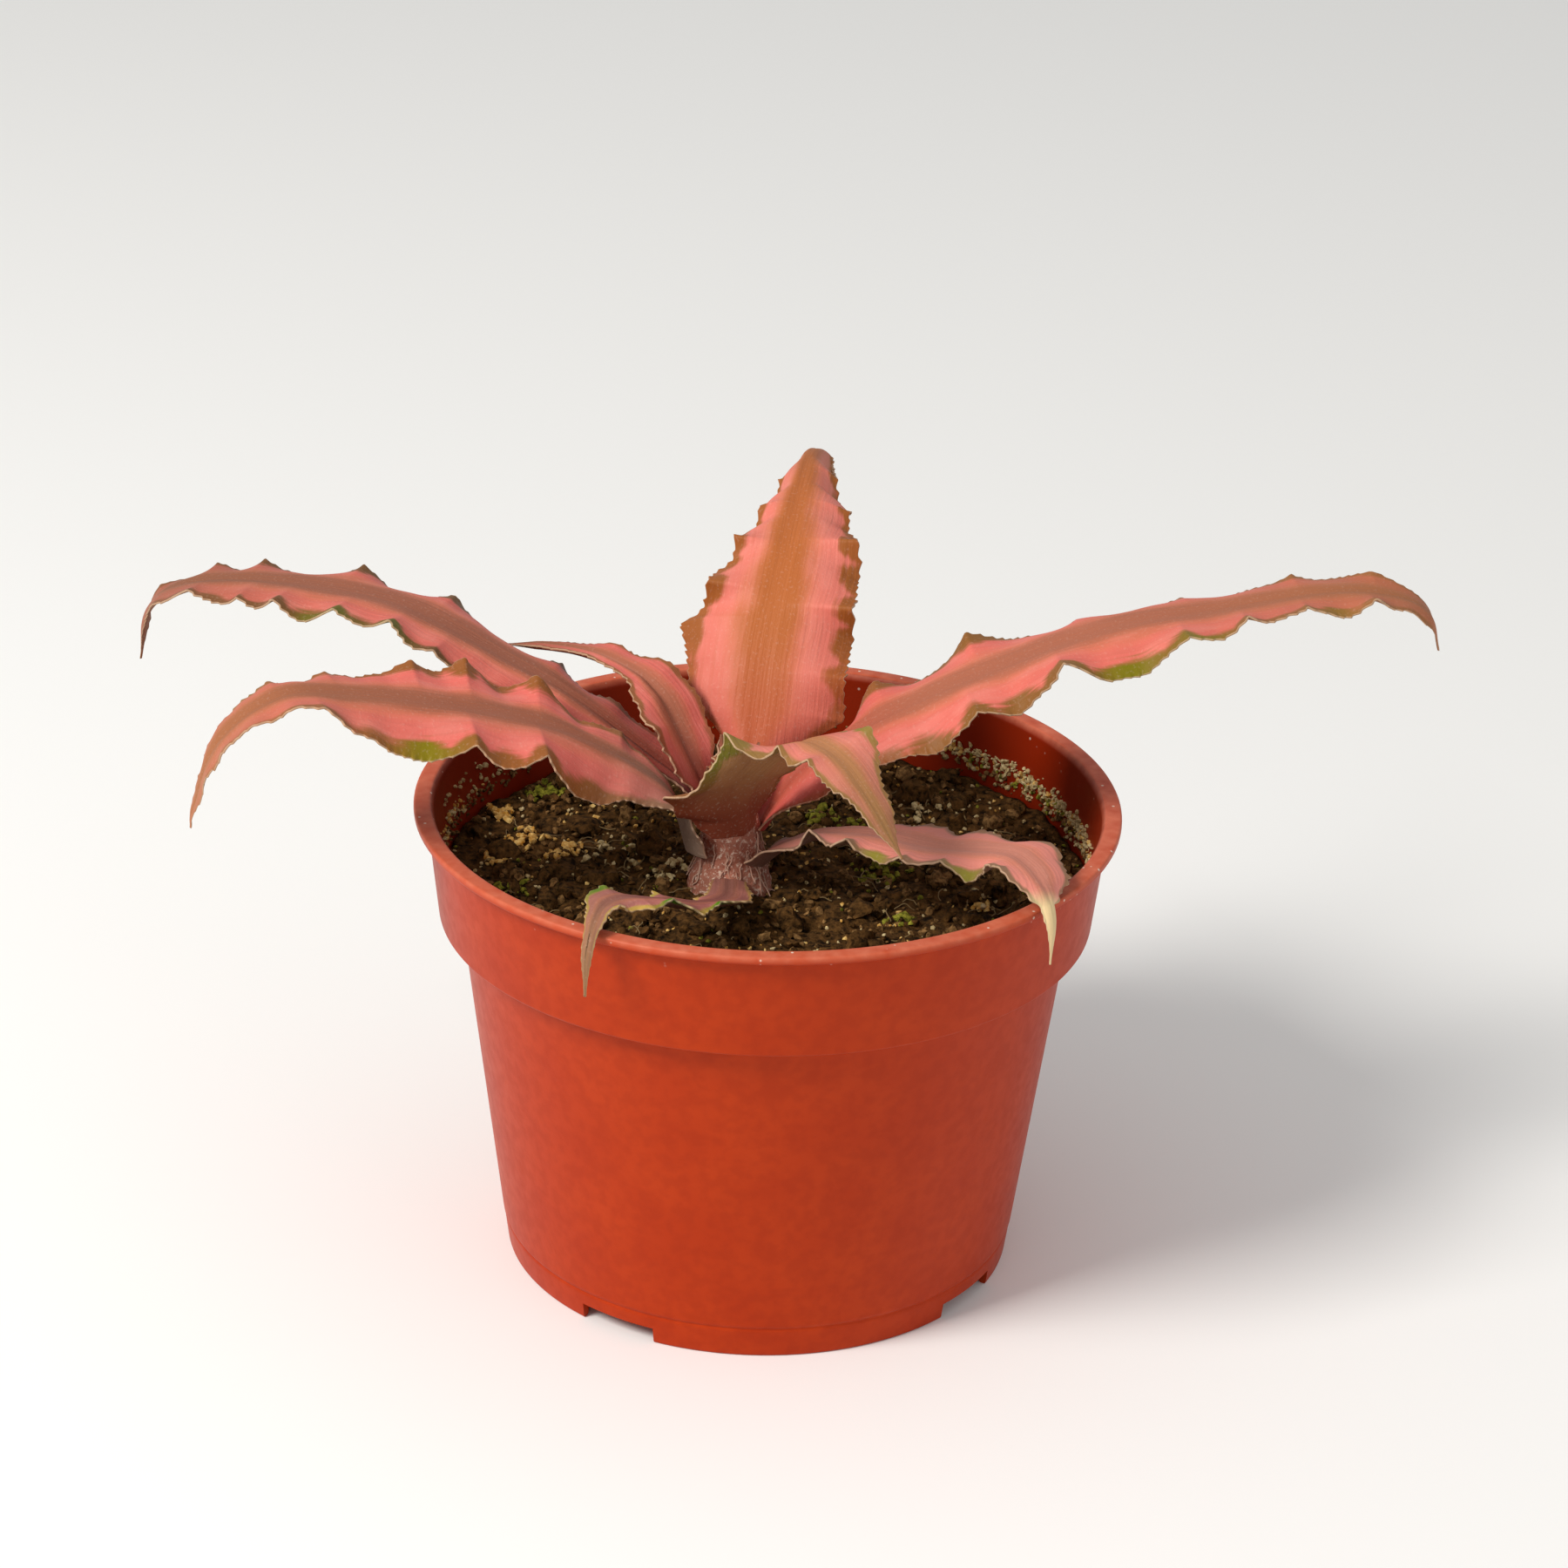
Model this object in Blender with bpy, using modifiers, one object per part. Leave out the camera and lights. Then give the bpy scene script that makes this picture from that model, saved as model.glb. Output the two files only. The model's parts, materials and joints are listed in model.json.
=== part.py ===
"""Earth star bromeliad (Cryptanthus) growing in a round plastic nursery pot.

Metres, +Z up. The origin is on the surface that the pot stands on, under the middle of the whole outline.
The pieces hang on one empty on the pot's axis, and the sizes below are measured from that axis. A leaf keeps
its own frame: a heading round the plant's axis, then distances out along it, across to the left, and up.
"""

import math
import random

import bmesh
import bpy
import numpy as np
from mathutils import Matrix, Vector

MM = 0.001
GAP = 0.3

# The pot's axis, in mm from the origin, which lies under the middle of the whole outline.
POT_AXIS = (-1.8, -12.4)

# Pot, in mm. The rim is the standard 10.5 cm round size.
RIM_RADIUS = 52.5
RIM_Z = 72.7
LIP_THICKNESS = 1.2
BAND_TOP_RADIUS = 50.6
BAND_FOOT_RADIUS = 48.8
BAND_FOOT_Z = 55.3
BODY_TOP_RADIUS = 45.6
BODY_FOOT_RADIUS = 39.1
SEAM_Z = 4.9
FOOT_RADIUS = 38.4
WALL = 1.1
FLOOR_Z = 3.2
FLOOR_THICKNESS = 1.4
POT_STEPS = 56
NOTCH_HEADINGS = (-122, -34, 56, 146)
NOTCH_WIDTH = 12.5
NOTCH_HEIGHT = 2.6
DRAIN_HOLES = 8
DRAIN_RADIUS = 3.5
DRAIN_RING_RADIUS = 25.0

# Soil, in mm.
SOIL_Z = 60.6
SOIL_RISE = 1.2
SOIL_SPREAD = 22.0
SOIL_RINGS = 9
SOIL_STEPS = 48
LUMP_HEIGHT = 0.6

# Plant, in mm. It stands a little left of the pot's middle and nearer the front.
PLANT = (-5.0, -5.0)
STEM = (-5.4, -5.8)
STEM_PROFILE = ((0, 75.2), (2.2, 74.6), (3.6, 72.8), (4.2, 70.5), (4.7, 67), (5.6, 62.5), (5.8, 57))
STEM_STEPS = 20
BLADE = 0.75
STRIPS = 6
STATION = 1.9
EDGE_CURL = 2.2
TOOTH = 0.45

# Leaves: heading in degrees, the midrib's points (out, across, up), the half width, and the lift of the left
# and right edge above the blade, as (share of the length, mm).
LEAVES = {
    "upper_left": {
        "heading": 163,
        "midrib": [(4.6, 0, 72), (8.5, 0, 76.5), (14, 0, 80), (25, 0, 87), (36, 0, 92), (52, 0, 98),
            (69, 0, 99), (85, 0, 97), (93, 0, 92), (95, 0, 83)],
        "left_width": [(0, 2.5), (0.12, 2), (0.25, 4.5), (0.36, 8), (0.44, 10.5), (0.62, 10), (0.82, 6.5),
            (0.93, 3), (1, 0.3)],
        "right_width": [(0, 3), (0.12, 5.5), (0.4, 11), (0.62, 10), (0.82, 6.5), (0.93, 3), (1, 0.3)],
        "left_edge": [(0, 1), (0.12, 0), (0.25, -1.5), (0.35, -1.5), (0.39, -0.5), (0.43, 1), (0.46, 0),
            (0.5, 2.2), (0.54, 0), (0.58, 1.3), (0.62, -1.3), (0.67, 1), (0.7, -1), (0.73, 0.6),
            (0.77, -1.2), (0.81, 1), (0.93, -1), (1, 0)],
        "right_edge": [(0, 1.5), (0.18, 0), (0.25, -2.5), (0.29, -1.5), (0.37, -5), (0.47, -1),
            (0.54, -4), (0.61, 0), (0.68, -3.2), (0.75, 0.5), (0.78, -1.3), (0.82, 0.3), (0.85, -1),
            (0.9, 1.2), (1, 0)],
    },
    "lower_left": {
        "heading": 197,
        "midrib": [(6.6, 0, 67.5), (9, 0, 75), (14, 0, 81), (27, 0, 89), (42, 0, 94), (56, 0, 97),
            (67, 0, 98), (76, 0, 92), (80, 0, 82), (80.5, 0, 79)],
        "left_width": [(0, 3), (0.12, 6.5), (0.4, 11), (0.62, 10), (0.82, 6.5), (0.93, 3), (1, 0.3)],
        "right_width": [(0, 2.5), (0.12, 1.8), (0.2, 5.5), (0.4, 11), (0.62, 10), (0.82, 6.5), (0.93, 3),
            (1, 0.3)],
        "left_edge": [(0, 1.5), (0.1, 0), (0.16, -3), (0.26, -6), (0.36, -0.8), (0.42, -4), (0.47, -1),
            (0.54, -5), (0.7, 1.5), (0.76, 0.8), (0.82, 1.2), (1, 0)],
        "right_edge": [(0, 1), (0.12, 0.8), (0.2, 2), (0.26, 0.6), (0.34, 3.4), (0.39, 0), (0.45, 3.6),
            (0.5, 0.6), (0.53, 2), (0.62, -1.5), (0.66, -0.5), (0.7, -2.8), (0.75, -0.8), (0.8, -1.2),
            (1, 0)],
    },
    "upright": {
        "heading": 83,
        "midrib": [(3.6, 0, 73), (8.5, -1.5, 82), (16, -2, 92.5), (25.5, -2.7, 100.5), (35, -3, 105),
            (50, -3, 108), (62, -3, 107), (74, -3.5, 101), (83, -4, 92)],
        "left_width": [(0, 2.5), (0.08, 4.5), (0.17, 11), (0.28, 14), (0.34, 11.5), (0.4, 7.5), (0.55, 5),
            (0.7, 4.2), (0.9, 2.5), (1, 0.3)],
        "right_width": [(0, 2.5), (0.05, 4), (0.14, 12.5), (0.28, 12), (0.4, 11.5), (0.55, 9), (0.7, 7),
            (0.9, 3.5), (1, 0.3)],
        "left_edge": [(0, 1), (0.08, -2.5), (0.18, -4), (0.27, -6), (0.37, 0), (0.45, -1.5), (0.51, 1),
            (0.56, -2), (0.62, 1), (0.7, -1.5), (0.77, 1), (0.84, -1), (1, 0)],
        "right_edge": [(0, 1), (0.06, -2.5), (0.14, -3.2), (0.22, -1.5), (0.28, -3), (0.32, 1), (0.4, -2),
            (0.47, 0), (0.52, -2.5), (0.56, 1.5), (0.62, -1.5), (0.68, 1.2), (0.76, -1), (0.84, 0.6),
            (1, 0)],
    },
    "long_right": {
        "heading": 10,
        "midrib": [(4.4, 0, 70.5), (9.5, 0, 79), (18, 0, 85), (28, 0, 90), (41, 0, 95), (56, 0, 100),
            (72, 0, 102), (88, 0, 104), (98, 0, 103), (104, 0, 100), (106, 0, 94)],
        "left_width": [(0, 2.5), (0.1, 2.4), (0.15, 3.5), (0.22, 8.5), (0.4, 11), (0.62, 10), (0.82, 6.5),
            (0.93, 3), (1, 0.3)],
        "right_width": [(0, 3.5), (0.12, 7.5), (0.4, 11), (0.62, 10), (0.82, 6.5), (0.93, 3), (1, 0.3)],
        "left_edge": [(0, 1), (0.1, 0), (0.15, -1), (0.22, 1.2), (0.29, -2), (0.35, 2), (0.45, -3.4),
            (0.49, -2.6), (0.54, -4), (0.63, -1.8), (0.67, -2.7), (0.77, 0.4), (0.8, -1), (0.87, 1.4),
            (1, 0.2)],
        "right_edge": [(0, 1.5), (0.1, -2.5), (0.2, -3), (0.25, -4.5), (0.32, -0.3), (0.37, -2.7),
            (0.44, 2.4), (0.52, -4), (0.6, 1), (0.64, -0.2), (0.68, 2.4), (0.72, 0.4), (0.76, 1.6),
            (0.8, -1.2), (0.85, 1), (0.94, -1.2), (1, 0)],
    },
    "inner": {
        "heading": 145,
        "midrib": [(3.6, 1.2, 73.6), (7.5, 0.8, 80), (14, 0, 88), (23, 0, 91), (33, 0, 90.5), (44, 0, 88)],
        "left_width": [(0, 2.5), (0.15, 5.5), (0.28, 8), (0.38, 5), (0.46, 2.8), (0.7, 1.5), (1, 0.2)],
        "right_width": [(0, 2), (0.1, 3), (0.2, 5), (0.3, 6.5), (0.4, 6), (0.55, 4), (0.75, 1.8),
            (1, 0.2)],
        "left_edge": [(0, 1), (0.12, 1), (0.26, 3), (0.38, 0), (0.5, 0.4), (1, 0)],
        "right_edge": [(0, 1), (0.2, 1), (0.3, 0), (0.42, 0.8), (0.5, 0), (0.6, 0.6), (0.7, 0), (1, 0)],
    },
    "front": {
        "heading": -58,
        "midrib": [(5.2, -2, 72), (6.5, -2.5, 77), (8.5, -2, 82), (13, -0.5, 87.5), (19, 0, 91.5),
            (25, 0, 92.5), (31, 0, 91.5), (37, 0, 88.5), (45, 0, 84)],
        "left_width": [(0, 3), (0.15, 5), (0.3, 7), (0.45, 8), (0.6, 6.5), (0.8, 3), (1, 0.2)],
        "right_width": [(0, 3.5), (0.1, 8), (0.2, 11), (0.38, 9), (0.5, 5.5), (0.7, 4), (0.85, 2),
            (1, 0.2)],
        "left_edge": [(0, 1), (0.2, 0), (0.45, 0), (0.6, 2.5), (0.7, 0), (1, 0)],
        "right_edge": [(0, 1), (0.12, 0), (0.2, -2.5), (0.28, 0), (0.38, 4.5), (0.47, -1), (0.55, 1),
            (0.63, -1), (0.75, 0), (1, 0)],
    },
    "low_right": {
        "heading": -33,
        "midrib": [(5.5, -1, 66.5), (9, -0.5, 70), (14, 1.5, 72.5), (22.5, 2.3, 74.5), (34, 2.4, 75.5),
            (43.4, 4, 77), (48, 3, 77), (52.5, 0, 76), (56, -2.5, 72), (56.5, -3.5, 66)],
        "width": [(0, 3.5), (0.15, 6), (0.5, 8), (0.75, 6.5), (0.9, 3), (1, 0.3)],
        "left_edge": [(0, 1), (0.2, -2), (0.4, 0), (0.48, -1), (0.55, 0.4), (0.64, -1.2), (0.7, -0.8),
            (0.8, -1.2), (1, 0)],
        "right_edge": [(0, 1), (0.13, 0), (0.2, 2.5), (0.25, 0.8), (0.31, 2), (0.38, -1.2), (0.46, 1.4),
            (0.5, 0), (0.54, 1.2), (0.6, -1.4), (0.75, 1.5), (0.85, -0.5), (1, 0)],
    },
    "old_front": {
        "heading": -112,
        "midrib": [(6, 2, 64.5), (14, 5, 66), (19.7, 4.7, 67.5), (24.5, 3.4, 69.3), (29, 2, 71.3),
            (33, 0.4, 73), (36.5, -1.4, 74.3), (40.4, -2.4, 74.8), (45.4, -1.8, 74.5), (49.2, -1.2, 71.5),
            (49.6, -1.3, 65)],
        "width": [(0, 2.5), (0.2, 4), (0.55, 4.5), (0.75, 4), (0.88, 2), (1, 0.3)],
        "left_edge": [(0, 0), (0.3, 1), (0.4, -1), (0.5, 1), (0.62, -1), (0.72, 1), (0.85, 0), (1, 0)],
        "right_edge": [(0, 0), (0.3, -1), (0.42, 1), (0.52, -1), (0.64, 1.5), (0.74, 0), (1, 0)],
    },
}

BLADE_COLOUR = (0.78, 0.19, 0.16)
POT_COLOUR = (0.52, 0.045, 0.012)
SOIL_COLOUR = (0.03, 0.02, 0.013)
STEM_COLOUR = (0.42, 0.24, 0.2)


def clear_scene():
    for thing in list(bpy.data.objects):
        bpy.data.objects.remove(thing, do_unlink=True)


def make_collection(name, hidden=False):
    group = bpy.data.collections.new(name)
    group.hide_render = hidden
    bpy.context.scene.collection.children.link(group)
    return group


def make_material(name, colour, roughness):
    material = bpy.data.materials.new(name)
    material.use_nodes = True
    shader = material.node_tree.nodes["Principled BSDF"]
    shader.inputs["Base Color"].default_value = (*colour, 1)
    shader.inputs["Roughness"].default_value = roughness
    shader.inputs["Metallic"].default_value = 0
    material.diffuse_color = (*colour, 1)
    return material


def add_object(name, bm, group, material=None):
    mesh = bpy.data.meshes.new(name)
    bm.to_mesh(mesh)
    bm.free()
    thing = bpy.data.objects.new(name, mesh)
    group.objects.link(thing)
    if material:
        mesh.materials.append(material)
    return thing


def turned(name, profile, steps, group, material=None):
    """A solid of revolution from (radius, height) points that run over the top and down the outer side."""
    bm = bmesh.new()
    row = [bm.verts.new((r * MM, 0, z * MM)) for r, z in profile]
    for first, second in zip(row, row[1:]):
        bm.edges.new((first, second))
    thing = add_object(name, bm, group, material)
    screw = thing.modifiers.new("turn", "SCREW")
    screw.steps = steps
    screw.render_steps = steps
    screw.use_merge_vertices = True
    screw.merge_threshold = 0.00002
    return thing


def apply_modifiers(thing):
    bpy.context.view_layer.update()
    graph = bpy.context.evaluated_depsgraph_get()
    mesh = bpy.data.meshes.new_from_object(thing.evaluated_get(graph))
    thing.modifiers.clear()
    thing.data = mesh


def cut(thing, cutters):
    for cutter in cutters:
        boolean = thing.modifiers.new("cut " + cutter.name, "BOOLEAN")
        boolean.operation = "DIFFERENCE"
        boolean.solver = "EXACT"
        boolean.object = cutter


def hide(cutter):
    cutter.hide_render = True
    cutter.display_type = "WIRE"
    return cutter


def pot_outer():
    """The pot's outside from the lip's inner edge, over the rim and down to the foot."""
    inner = BAND_TOP_RADIUS - WALL
    return [
        (inner, RIM_Z - 0.3),
        (inner + 0.3, RIM_Z),
        (RIM_RADIUS - 0.4, RIM_Z),
        (RIM_RADIUS, RIM_Z - 0.4),
        (RIM_RADIUS, RIM_Z - LIP_THICKNESS + 0.2),
        (RIM_RADIUS - 0.3, RIM_Z - LIP_THICKNESS),
        (BAND_TOP_RADIUS, RIM_Z - LIP_THICKNESS - 0.3),
        (BAND_FOOT_RADIUS, BAND_FOOT_Z + 0.5),
        (BAND_FOOT_RADIUS - 0.6, BAND_FOOT_Z),
        (BODY_TOP_RADIUS, BAND_FOOT_Z - 0.2),
        (BODY_FOOT_RADIUS, SEAM_Z),
        (FOOT_RADIUS, 0),
    ]


def pot_inner(offset=0.0):
    """The pot's inner wall from the floor up, moved in towards the axis by an offset."""
    wall = WALL + offset
    return [
        (0, FLOOR_Z + FLOOR_THICKNESS + offset),
        (BODY_FOOT_RADIUS - wall, FLOOR_Z + FLOOR_THICKNESS + offset),
        (BODY_TOP_RADIUS - wall, BAND_FOOT_Z + 1 + offset),
        (BAND_FOOT_RADIUS - wall, BAND_FOOT_Z + 1.6 + offset),
    ]


def build_pot(group, cutters, material):
    foot = FOOT_RADIUS - WALL
    profile = pot_inner() + pot_outer() + [(foot, 0), (foot, FLOOR_Z), (0, FLOOR_Z)]
    pot = turned("pot", profile, POT_STEPS, group, material)
    tools = []
    for index, heading in enumerate(NOTCH_HEADINGS):
        bm = bmesh.new()
        bmesh.ops.create_cube(bm, size=MM)
        bmesh.ops.scale(bm, vec=(8, NOTCH_WIDTH, 2 * NOTCH_HEIGHT), verts=bm.verts)
        turn = Matrix.Rotation(math.radians(heading), 4, "Z")
        bmesh.ops.transform(bm, matrix=turn @ Matrix.Translation((FOOT_RADIUS * MM, 0, 0)), verts=bm.verts)
        tools.append(hide(add_object(f"notch_cutter_{index}", bm, cutters)))
    for index in range(DRAIN_HOLES):
        turn = 2 * math.pi * index / DRAIN_HOLES
        bm = bmesh.new()
        bmesh.ops.create_cone(
            bm, cap_ends=True, segments=12, radius1=DRAIN_RADIUS * MM, radius2=DRAIN_RADIUS * MM, depth=6 * MM
        )
        place = (DRAIN_RING_RADIUS * MM * math.cos(turn), DRAIN_RING_RADIUS * MM * math.sin(turn), FLOOR_Z * MM)
        bmesh.ops.translate(bm, vec=place, verts=bm.verts)
        tools.append(hide(add_object(f"drain_cutter_{index}", bm, cutters)))
    cut(pot, tools)
    pot.data.shade_smooth()
    return pot


def soil_radius(z):
    """The soil's radius where it meets the band's inner wall."""
    share = (z - BAND_FOOT_Z) / (RIM_Z - LIP_THICKNESS - BAND_FOOT_Z)
    return BAND_FOOT_RADIUS + share * (BAND_TOP_RADIUS - BAND_FOOT_RADIUS) - WALL - 2 * GAP


def build_soil(group, cutters, material):
    edge = soil_radius(SOIL_Z)
    top = [(edge * ring / SOIL_RINGS, SOIL_Z) for ring in range(SOIL_RINGS + 1)]
    wall = [(r, z) for r, z in reversed(pot_inner(2 * GAP))]
    soil = turned("soil", top + wall, SOIL_STEPS, group, material)
    apply_modifiers(soil)
    bm = bmesh.new()
    bm.from_mesh(soil.data)
    draw = random.Random(7)
    waves = [(draw.uniform(0.12, 0.5), draw.uniform(0, 6.28), draw.uniform(0, 6.28)) for _ in range(9)]
    for vert in bm.verts:
        x, y, z = vert.co / MM
        distance = math.hypot(x, y)
        if z < SOIL_Z - 0.1 or distance > edge - 0.5:
            continue
        mound = SOIL_RISE * math.exp(-((math.hypot(x - STEM[0], y - STEM[1]) / SOIL_SPREAD) ** 2))
        lump = sum(math.sin(k * (x * math.cos(a) + y * math.sin(a)) + p) for k, a, p in waves) / 3
        vert.co.z = (SOIL_Z + mound + LUMP_HEIGHT * max(-1, min(1, lump))) * MM
    bmesh.ops.triangulate(bm, faces=bm.faces)
    bm.to_mesh(soil.data)
    bm.free()
    bm = bmesh.new()
    socket = STEM_PROFILE[-1]
    depth = 20
    bmesh.ops.create_cone(
        bm,
        cap_ends=True,
        segments=STEM_STEPS,
        radius1=(socket[0] + GAP) * MM,
        radius2=(socket[0] + GAP) * MM,
        depth=depth * MM,
    )
    bmesh.ops.translate(
        bm, vec=(STEM[0] * MM, STEM[1] * MM, (socket[1] - GAP + depth / 2) * MM), verts=bm.verts
    )
    cut(soil, [hide(add_object("stem_hole_cutter", bm, cutters))])
    soil.data.shade_smooth()
    return soil


def build_stem(group, material):
    stem = turned("stem", list(STEM_PROFILE) + [(0, STEM_PROFILE[-1][1])], STEM_STEPS, group, material)
    stem.location = (STEM[0] * MM, STEM[1] * MM, 0)
    stem.data.shade_smooth()
    return stem


def smooth_line(points, count):
    """count + 1 evenly spaced points on a smooth curve through the given ones, and its length."""
    given = np.array(points, float)
    ends = np.vstack([2 * given[0] - given[1], given, 2 * given[-1] - given[-2]])
    fine = []
    for a, b, c, d in zip(ends, ends[1:], ends[2:], ends[3:]):
        for t in np.linspace(0, 1, 24, endpoint=False):
            bend = (2 * a - 5 * b + 4 * c - d) * t * t + (3 * b - a - 3 * c + d) * t**3
            fine.append(0.5 * (2 * b + (c - a) * t + bend))
    fine = np.array(fine + [given[-1]])
    run = np.concatenate([[0], np.cumsum(np.linalg.norm(np.diff(fine, axis=0), axis=1))])
    even = np.linspace(0, run[-1], count + 1)
    return np.stack([np.interp(even, run, fine[:, k]) for k in range(3)], axis=1), run[-1]


def between(pairs, along):
    """Values at places along a leaf, easing from each given (place, value) to the next."""
    places, values = np.array(pairs, float).T
    index = np.clip(np.searchsorted(places, along) - 1, 0, len(places) - 2)
    step = np.clip((along - places[index]) / (places[index + 1] - places[index]), 0, 1)
    return values[index] + (values[index + 1] - values[index]) * (0.5 - 0.5 * np.cos(np.pi * step))


def unit(rows):
    return rows / np.linalg.norm(rows, axis=1)[:, None]


def blade_frame(leaf, count):
    """The midrib's points with the blade's direction to the left and its upward normal at each."""
    turn = math.radians(leaf["heading"])
    out = np.array((math.cos(turn), math.sin(turn), 0))
    left = np.array((-math.sin(turn), math.cos(turn), 0))
    line, _ = smooth_line(leaf["midrib"], count)
    centre = np.array((*PLANT, 0)) + line[:, :1] * out + line[:, 1:2] * left + line[:, 2:] * (0, 0, 1)
    run = unit(np.gradient(centre, axis=0))
    across = unit(left - (run @ left)[:, None] * run)
    return centre, across, unit(np.cross(run, across))


def build_leaf(name, leaf, group, material):
    _, length = smooth_line(leaf["midrib"], 8)
    stations = round(length / STATION)
    centre, across, normal = blade_frame(leaf, stations)
    along = np.linspace(0, 1, stations + 1)
    sides = {
        1: (between(leaf.get("left_width") or leaf["width"], along), between(leaf["left_edge"], along)),
        -1: (between(leaf.get("right_width") or leaf["width"], along), between(leaf["right_edge"], along)),
    }
    bm = bmesh.new()
    bmesh.ops.create_grid(bm, x_segments=stations, y_segments=STRIPS, size=1)
    for vert in bm.verts:
        station = round((vert.co.x + 1) / 2 * stations)
        share = abs(vert.co.y) ** 0.8
        side = 1 if vert.co.y > 0 else -1
        width, lift = (values[station] for values in sides[side])
        reach = width * share
        if share > 0.99 and station % 2 and station < stations:
            reach += TOOTH * min(1, width / 3)
        place = centre[station] + side * reach * across[station] + lift * share**EDGE_CURL * normal[station]
        vert.co = Vector(place) * MM
    bmesh.ops.triangulate(bm, faces=bm.faces)
    blade = add_object(name, bm, group, material)
    shell = blade.modifiers.new("blade", "SOLIDIFY")
    shell.thickness = BLADE * MM
    shell.offset = 0
    blade.data.shade_smooth()
    return blade


def stand_on_axis(group, *collections):
    """Parents every piece and cutter to one empty on the pot's axis."""
    axis = bpy.data.objects.new("pot_axis", None)
    axis.location = (POT_AXIS[0] * MM, POT_AXIS[1] * MM, 0)
    for collection in (group, *collections):
        for thing in collection.objects:
            thing.parent = axis
    group.objects.link(axis)


def main():
    clear_scene()
    group = make_collection("earth_star_bromeliad")
    cutters = make_collection("cutters", hidden=True)
    build_pot(group, cutters, make_material("terracotta red polypropylene", POT_COLOUR, 0.4))
    build_soil(group, cutters, make_material("potting soil", SOIL_COLOUR, 0.95))
    build_stem(group, make_material("scurfy stem", STEM_COLOUR, 0.8))
    leaf_material = make_material("leaf blade", BLADE_COLOUR, 0.5)
    for name, leaf in LEAVES.items():
        build_leaf("leaf_" + name, leaf, group, leaf_material)
    stand_on_axis(group, cutters)


main()
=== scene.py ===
# %% [markdown]
# # Earth star bromeliad in its nursery pot
# A pink Cryptanthus grows in a round red plastic pot. The CAD model fixes where every piece is and how large
# it is. This lesson builds a finer piece over each of its pieces, with the real one's colours and surface.
# Sizes are in millimetres from the pot's axis.

# %% load the CAD frame
import json
import math
import random

import bmesh
import bpy
import numpy as np
from mathutils import Matrix, Vector, noise

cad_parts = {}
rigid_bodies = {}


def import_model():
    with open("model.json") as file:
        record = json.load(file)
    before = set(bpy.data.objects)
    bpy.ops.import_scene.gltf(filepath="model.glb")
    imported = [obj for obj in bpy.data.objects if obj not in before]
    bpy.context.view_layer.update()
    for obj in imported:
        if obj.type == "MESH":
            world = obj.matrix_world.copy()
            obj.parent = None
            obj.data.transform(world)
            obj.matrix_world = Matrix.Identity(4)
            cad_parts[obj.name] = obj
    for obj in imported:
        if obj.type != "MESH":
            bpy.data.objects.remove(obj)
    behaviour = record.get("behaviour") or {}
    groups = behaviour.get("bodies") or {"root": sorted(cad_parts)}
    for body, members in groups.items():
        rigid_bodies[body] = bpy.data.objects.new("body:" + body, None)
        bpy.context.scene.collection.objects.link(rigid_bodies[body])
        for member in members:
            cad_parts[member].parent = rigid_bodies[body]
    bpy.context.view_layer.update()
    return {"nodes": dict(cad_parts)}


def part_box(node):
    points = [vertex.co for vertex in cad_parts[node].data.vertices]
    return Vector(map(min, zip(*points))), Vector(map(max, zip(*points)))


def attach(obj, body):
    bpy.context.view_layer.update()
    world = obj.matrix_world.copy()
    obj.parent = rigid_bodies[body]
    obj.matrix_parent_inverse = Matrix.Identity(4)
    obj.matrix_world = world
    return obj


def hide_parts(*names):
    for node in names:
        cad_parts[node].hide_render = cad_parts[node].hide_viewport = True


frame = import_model()
MM = 0.001
pot_low, pot_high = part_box("pot")
AXIS = Vector(((pot_low.x + pot_high.x) / 2, (pot_low.y + pot_high.y) / 2, 0))
print("CAD nodes:", ", ".join(sorted(frame["nodes"])))

# %% [markdown]
# ## Helpers
# Screens store colours as sRGB, while shaders count light, so each colour is written as the hex value that
# the eye sees, and one function turns it to linear. A second adds a shader node, and links an input where it
# is given another node's output. A third lays colours over one another as a painter does: the base first,
# then each layer through its own mask.

# %% colours and shader nodes
def linear(code):
    """An sRGB #rrggbb colour as linear RGBA."""
    parts = [int(code[place : place + 2], 16) / 255 for place in (1, 3, 5)]
    return (*[c / 12.92 if c <= 0.04045 else ((c + 0.055) / 1.055) ** 2.4 for c in parts], 1.0)


def add_node(tree, kind, inputs={}, **settings):
    """A new shader node's outputs. An input that is another node's output is linked, and any other is set."""
    node = tree.nodes.new("ShaderNode" + kind)
    for name, value in settings.items():
        setattr(node, name, value)
    for name, value in inputs.items():
        if isinstance(value, bpy.types.NodeSocket):
            tree.links.new(value, node.inputs[name])
        else:
            node.inputs[name].default_value = value
    return node.outputs


def new_material(name, **uniform):
    """A material with its node tree and shader. Values that are the same all over are set on the shader."""
    material = bpy.data.materials.new(name)
    material.use_nodes = True
    shader = material.node_tree.nodes["Principled BSDF"]
    for socket, value in uniform.items():
        shader.inputs[socket.replace("_", " ")].default_value = value
    return material, material.node_tree, shader


# A Mix node holds its colour sockets after its number and vector ones.
FACTOR, UNDER, OVER, MIXED = 0, 6, 7, 2


def paint(tree, shader, base, layers, relief=None, depth=0):
    """Lays sRGB colours over a base, each as thick as its mask says, and a relief of a depth in mm."""
    colour = linear(base)
    for mask, code in layers:
        values = {FACTOR: mask, UNDER: colour, OVER: linear(code)}
        colour = add_node(tree, "Mix", values, data_type="RGBA")[MIXED]
    tree.links.new(colour, shader.inputs["Base Color"])
    if depth:
        bump = add_node(tree, "Bump", {"Height": relief, "Distance": depth * MM})[0]
        tree.links.new(bump, shader.inputs["Normal"])


print("linear mid grey:", [round(c, 3) for c in linear("#808080")])

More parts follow.
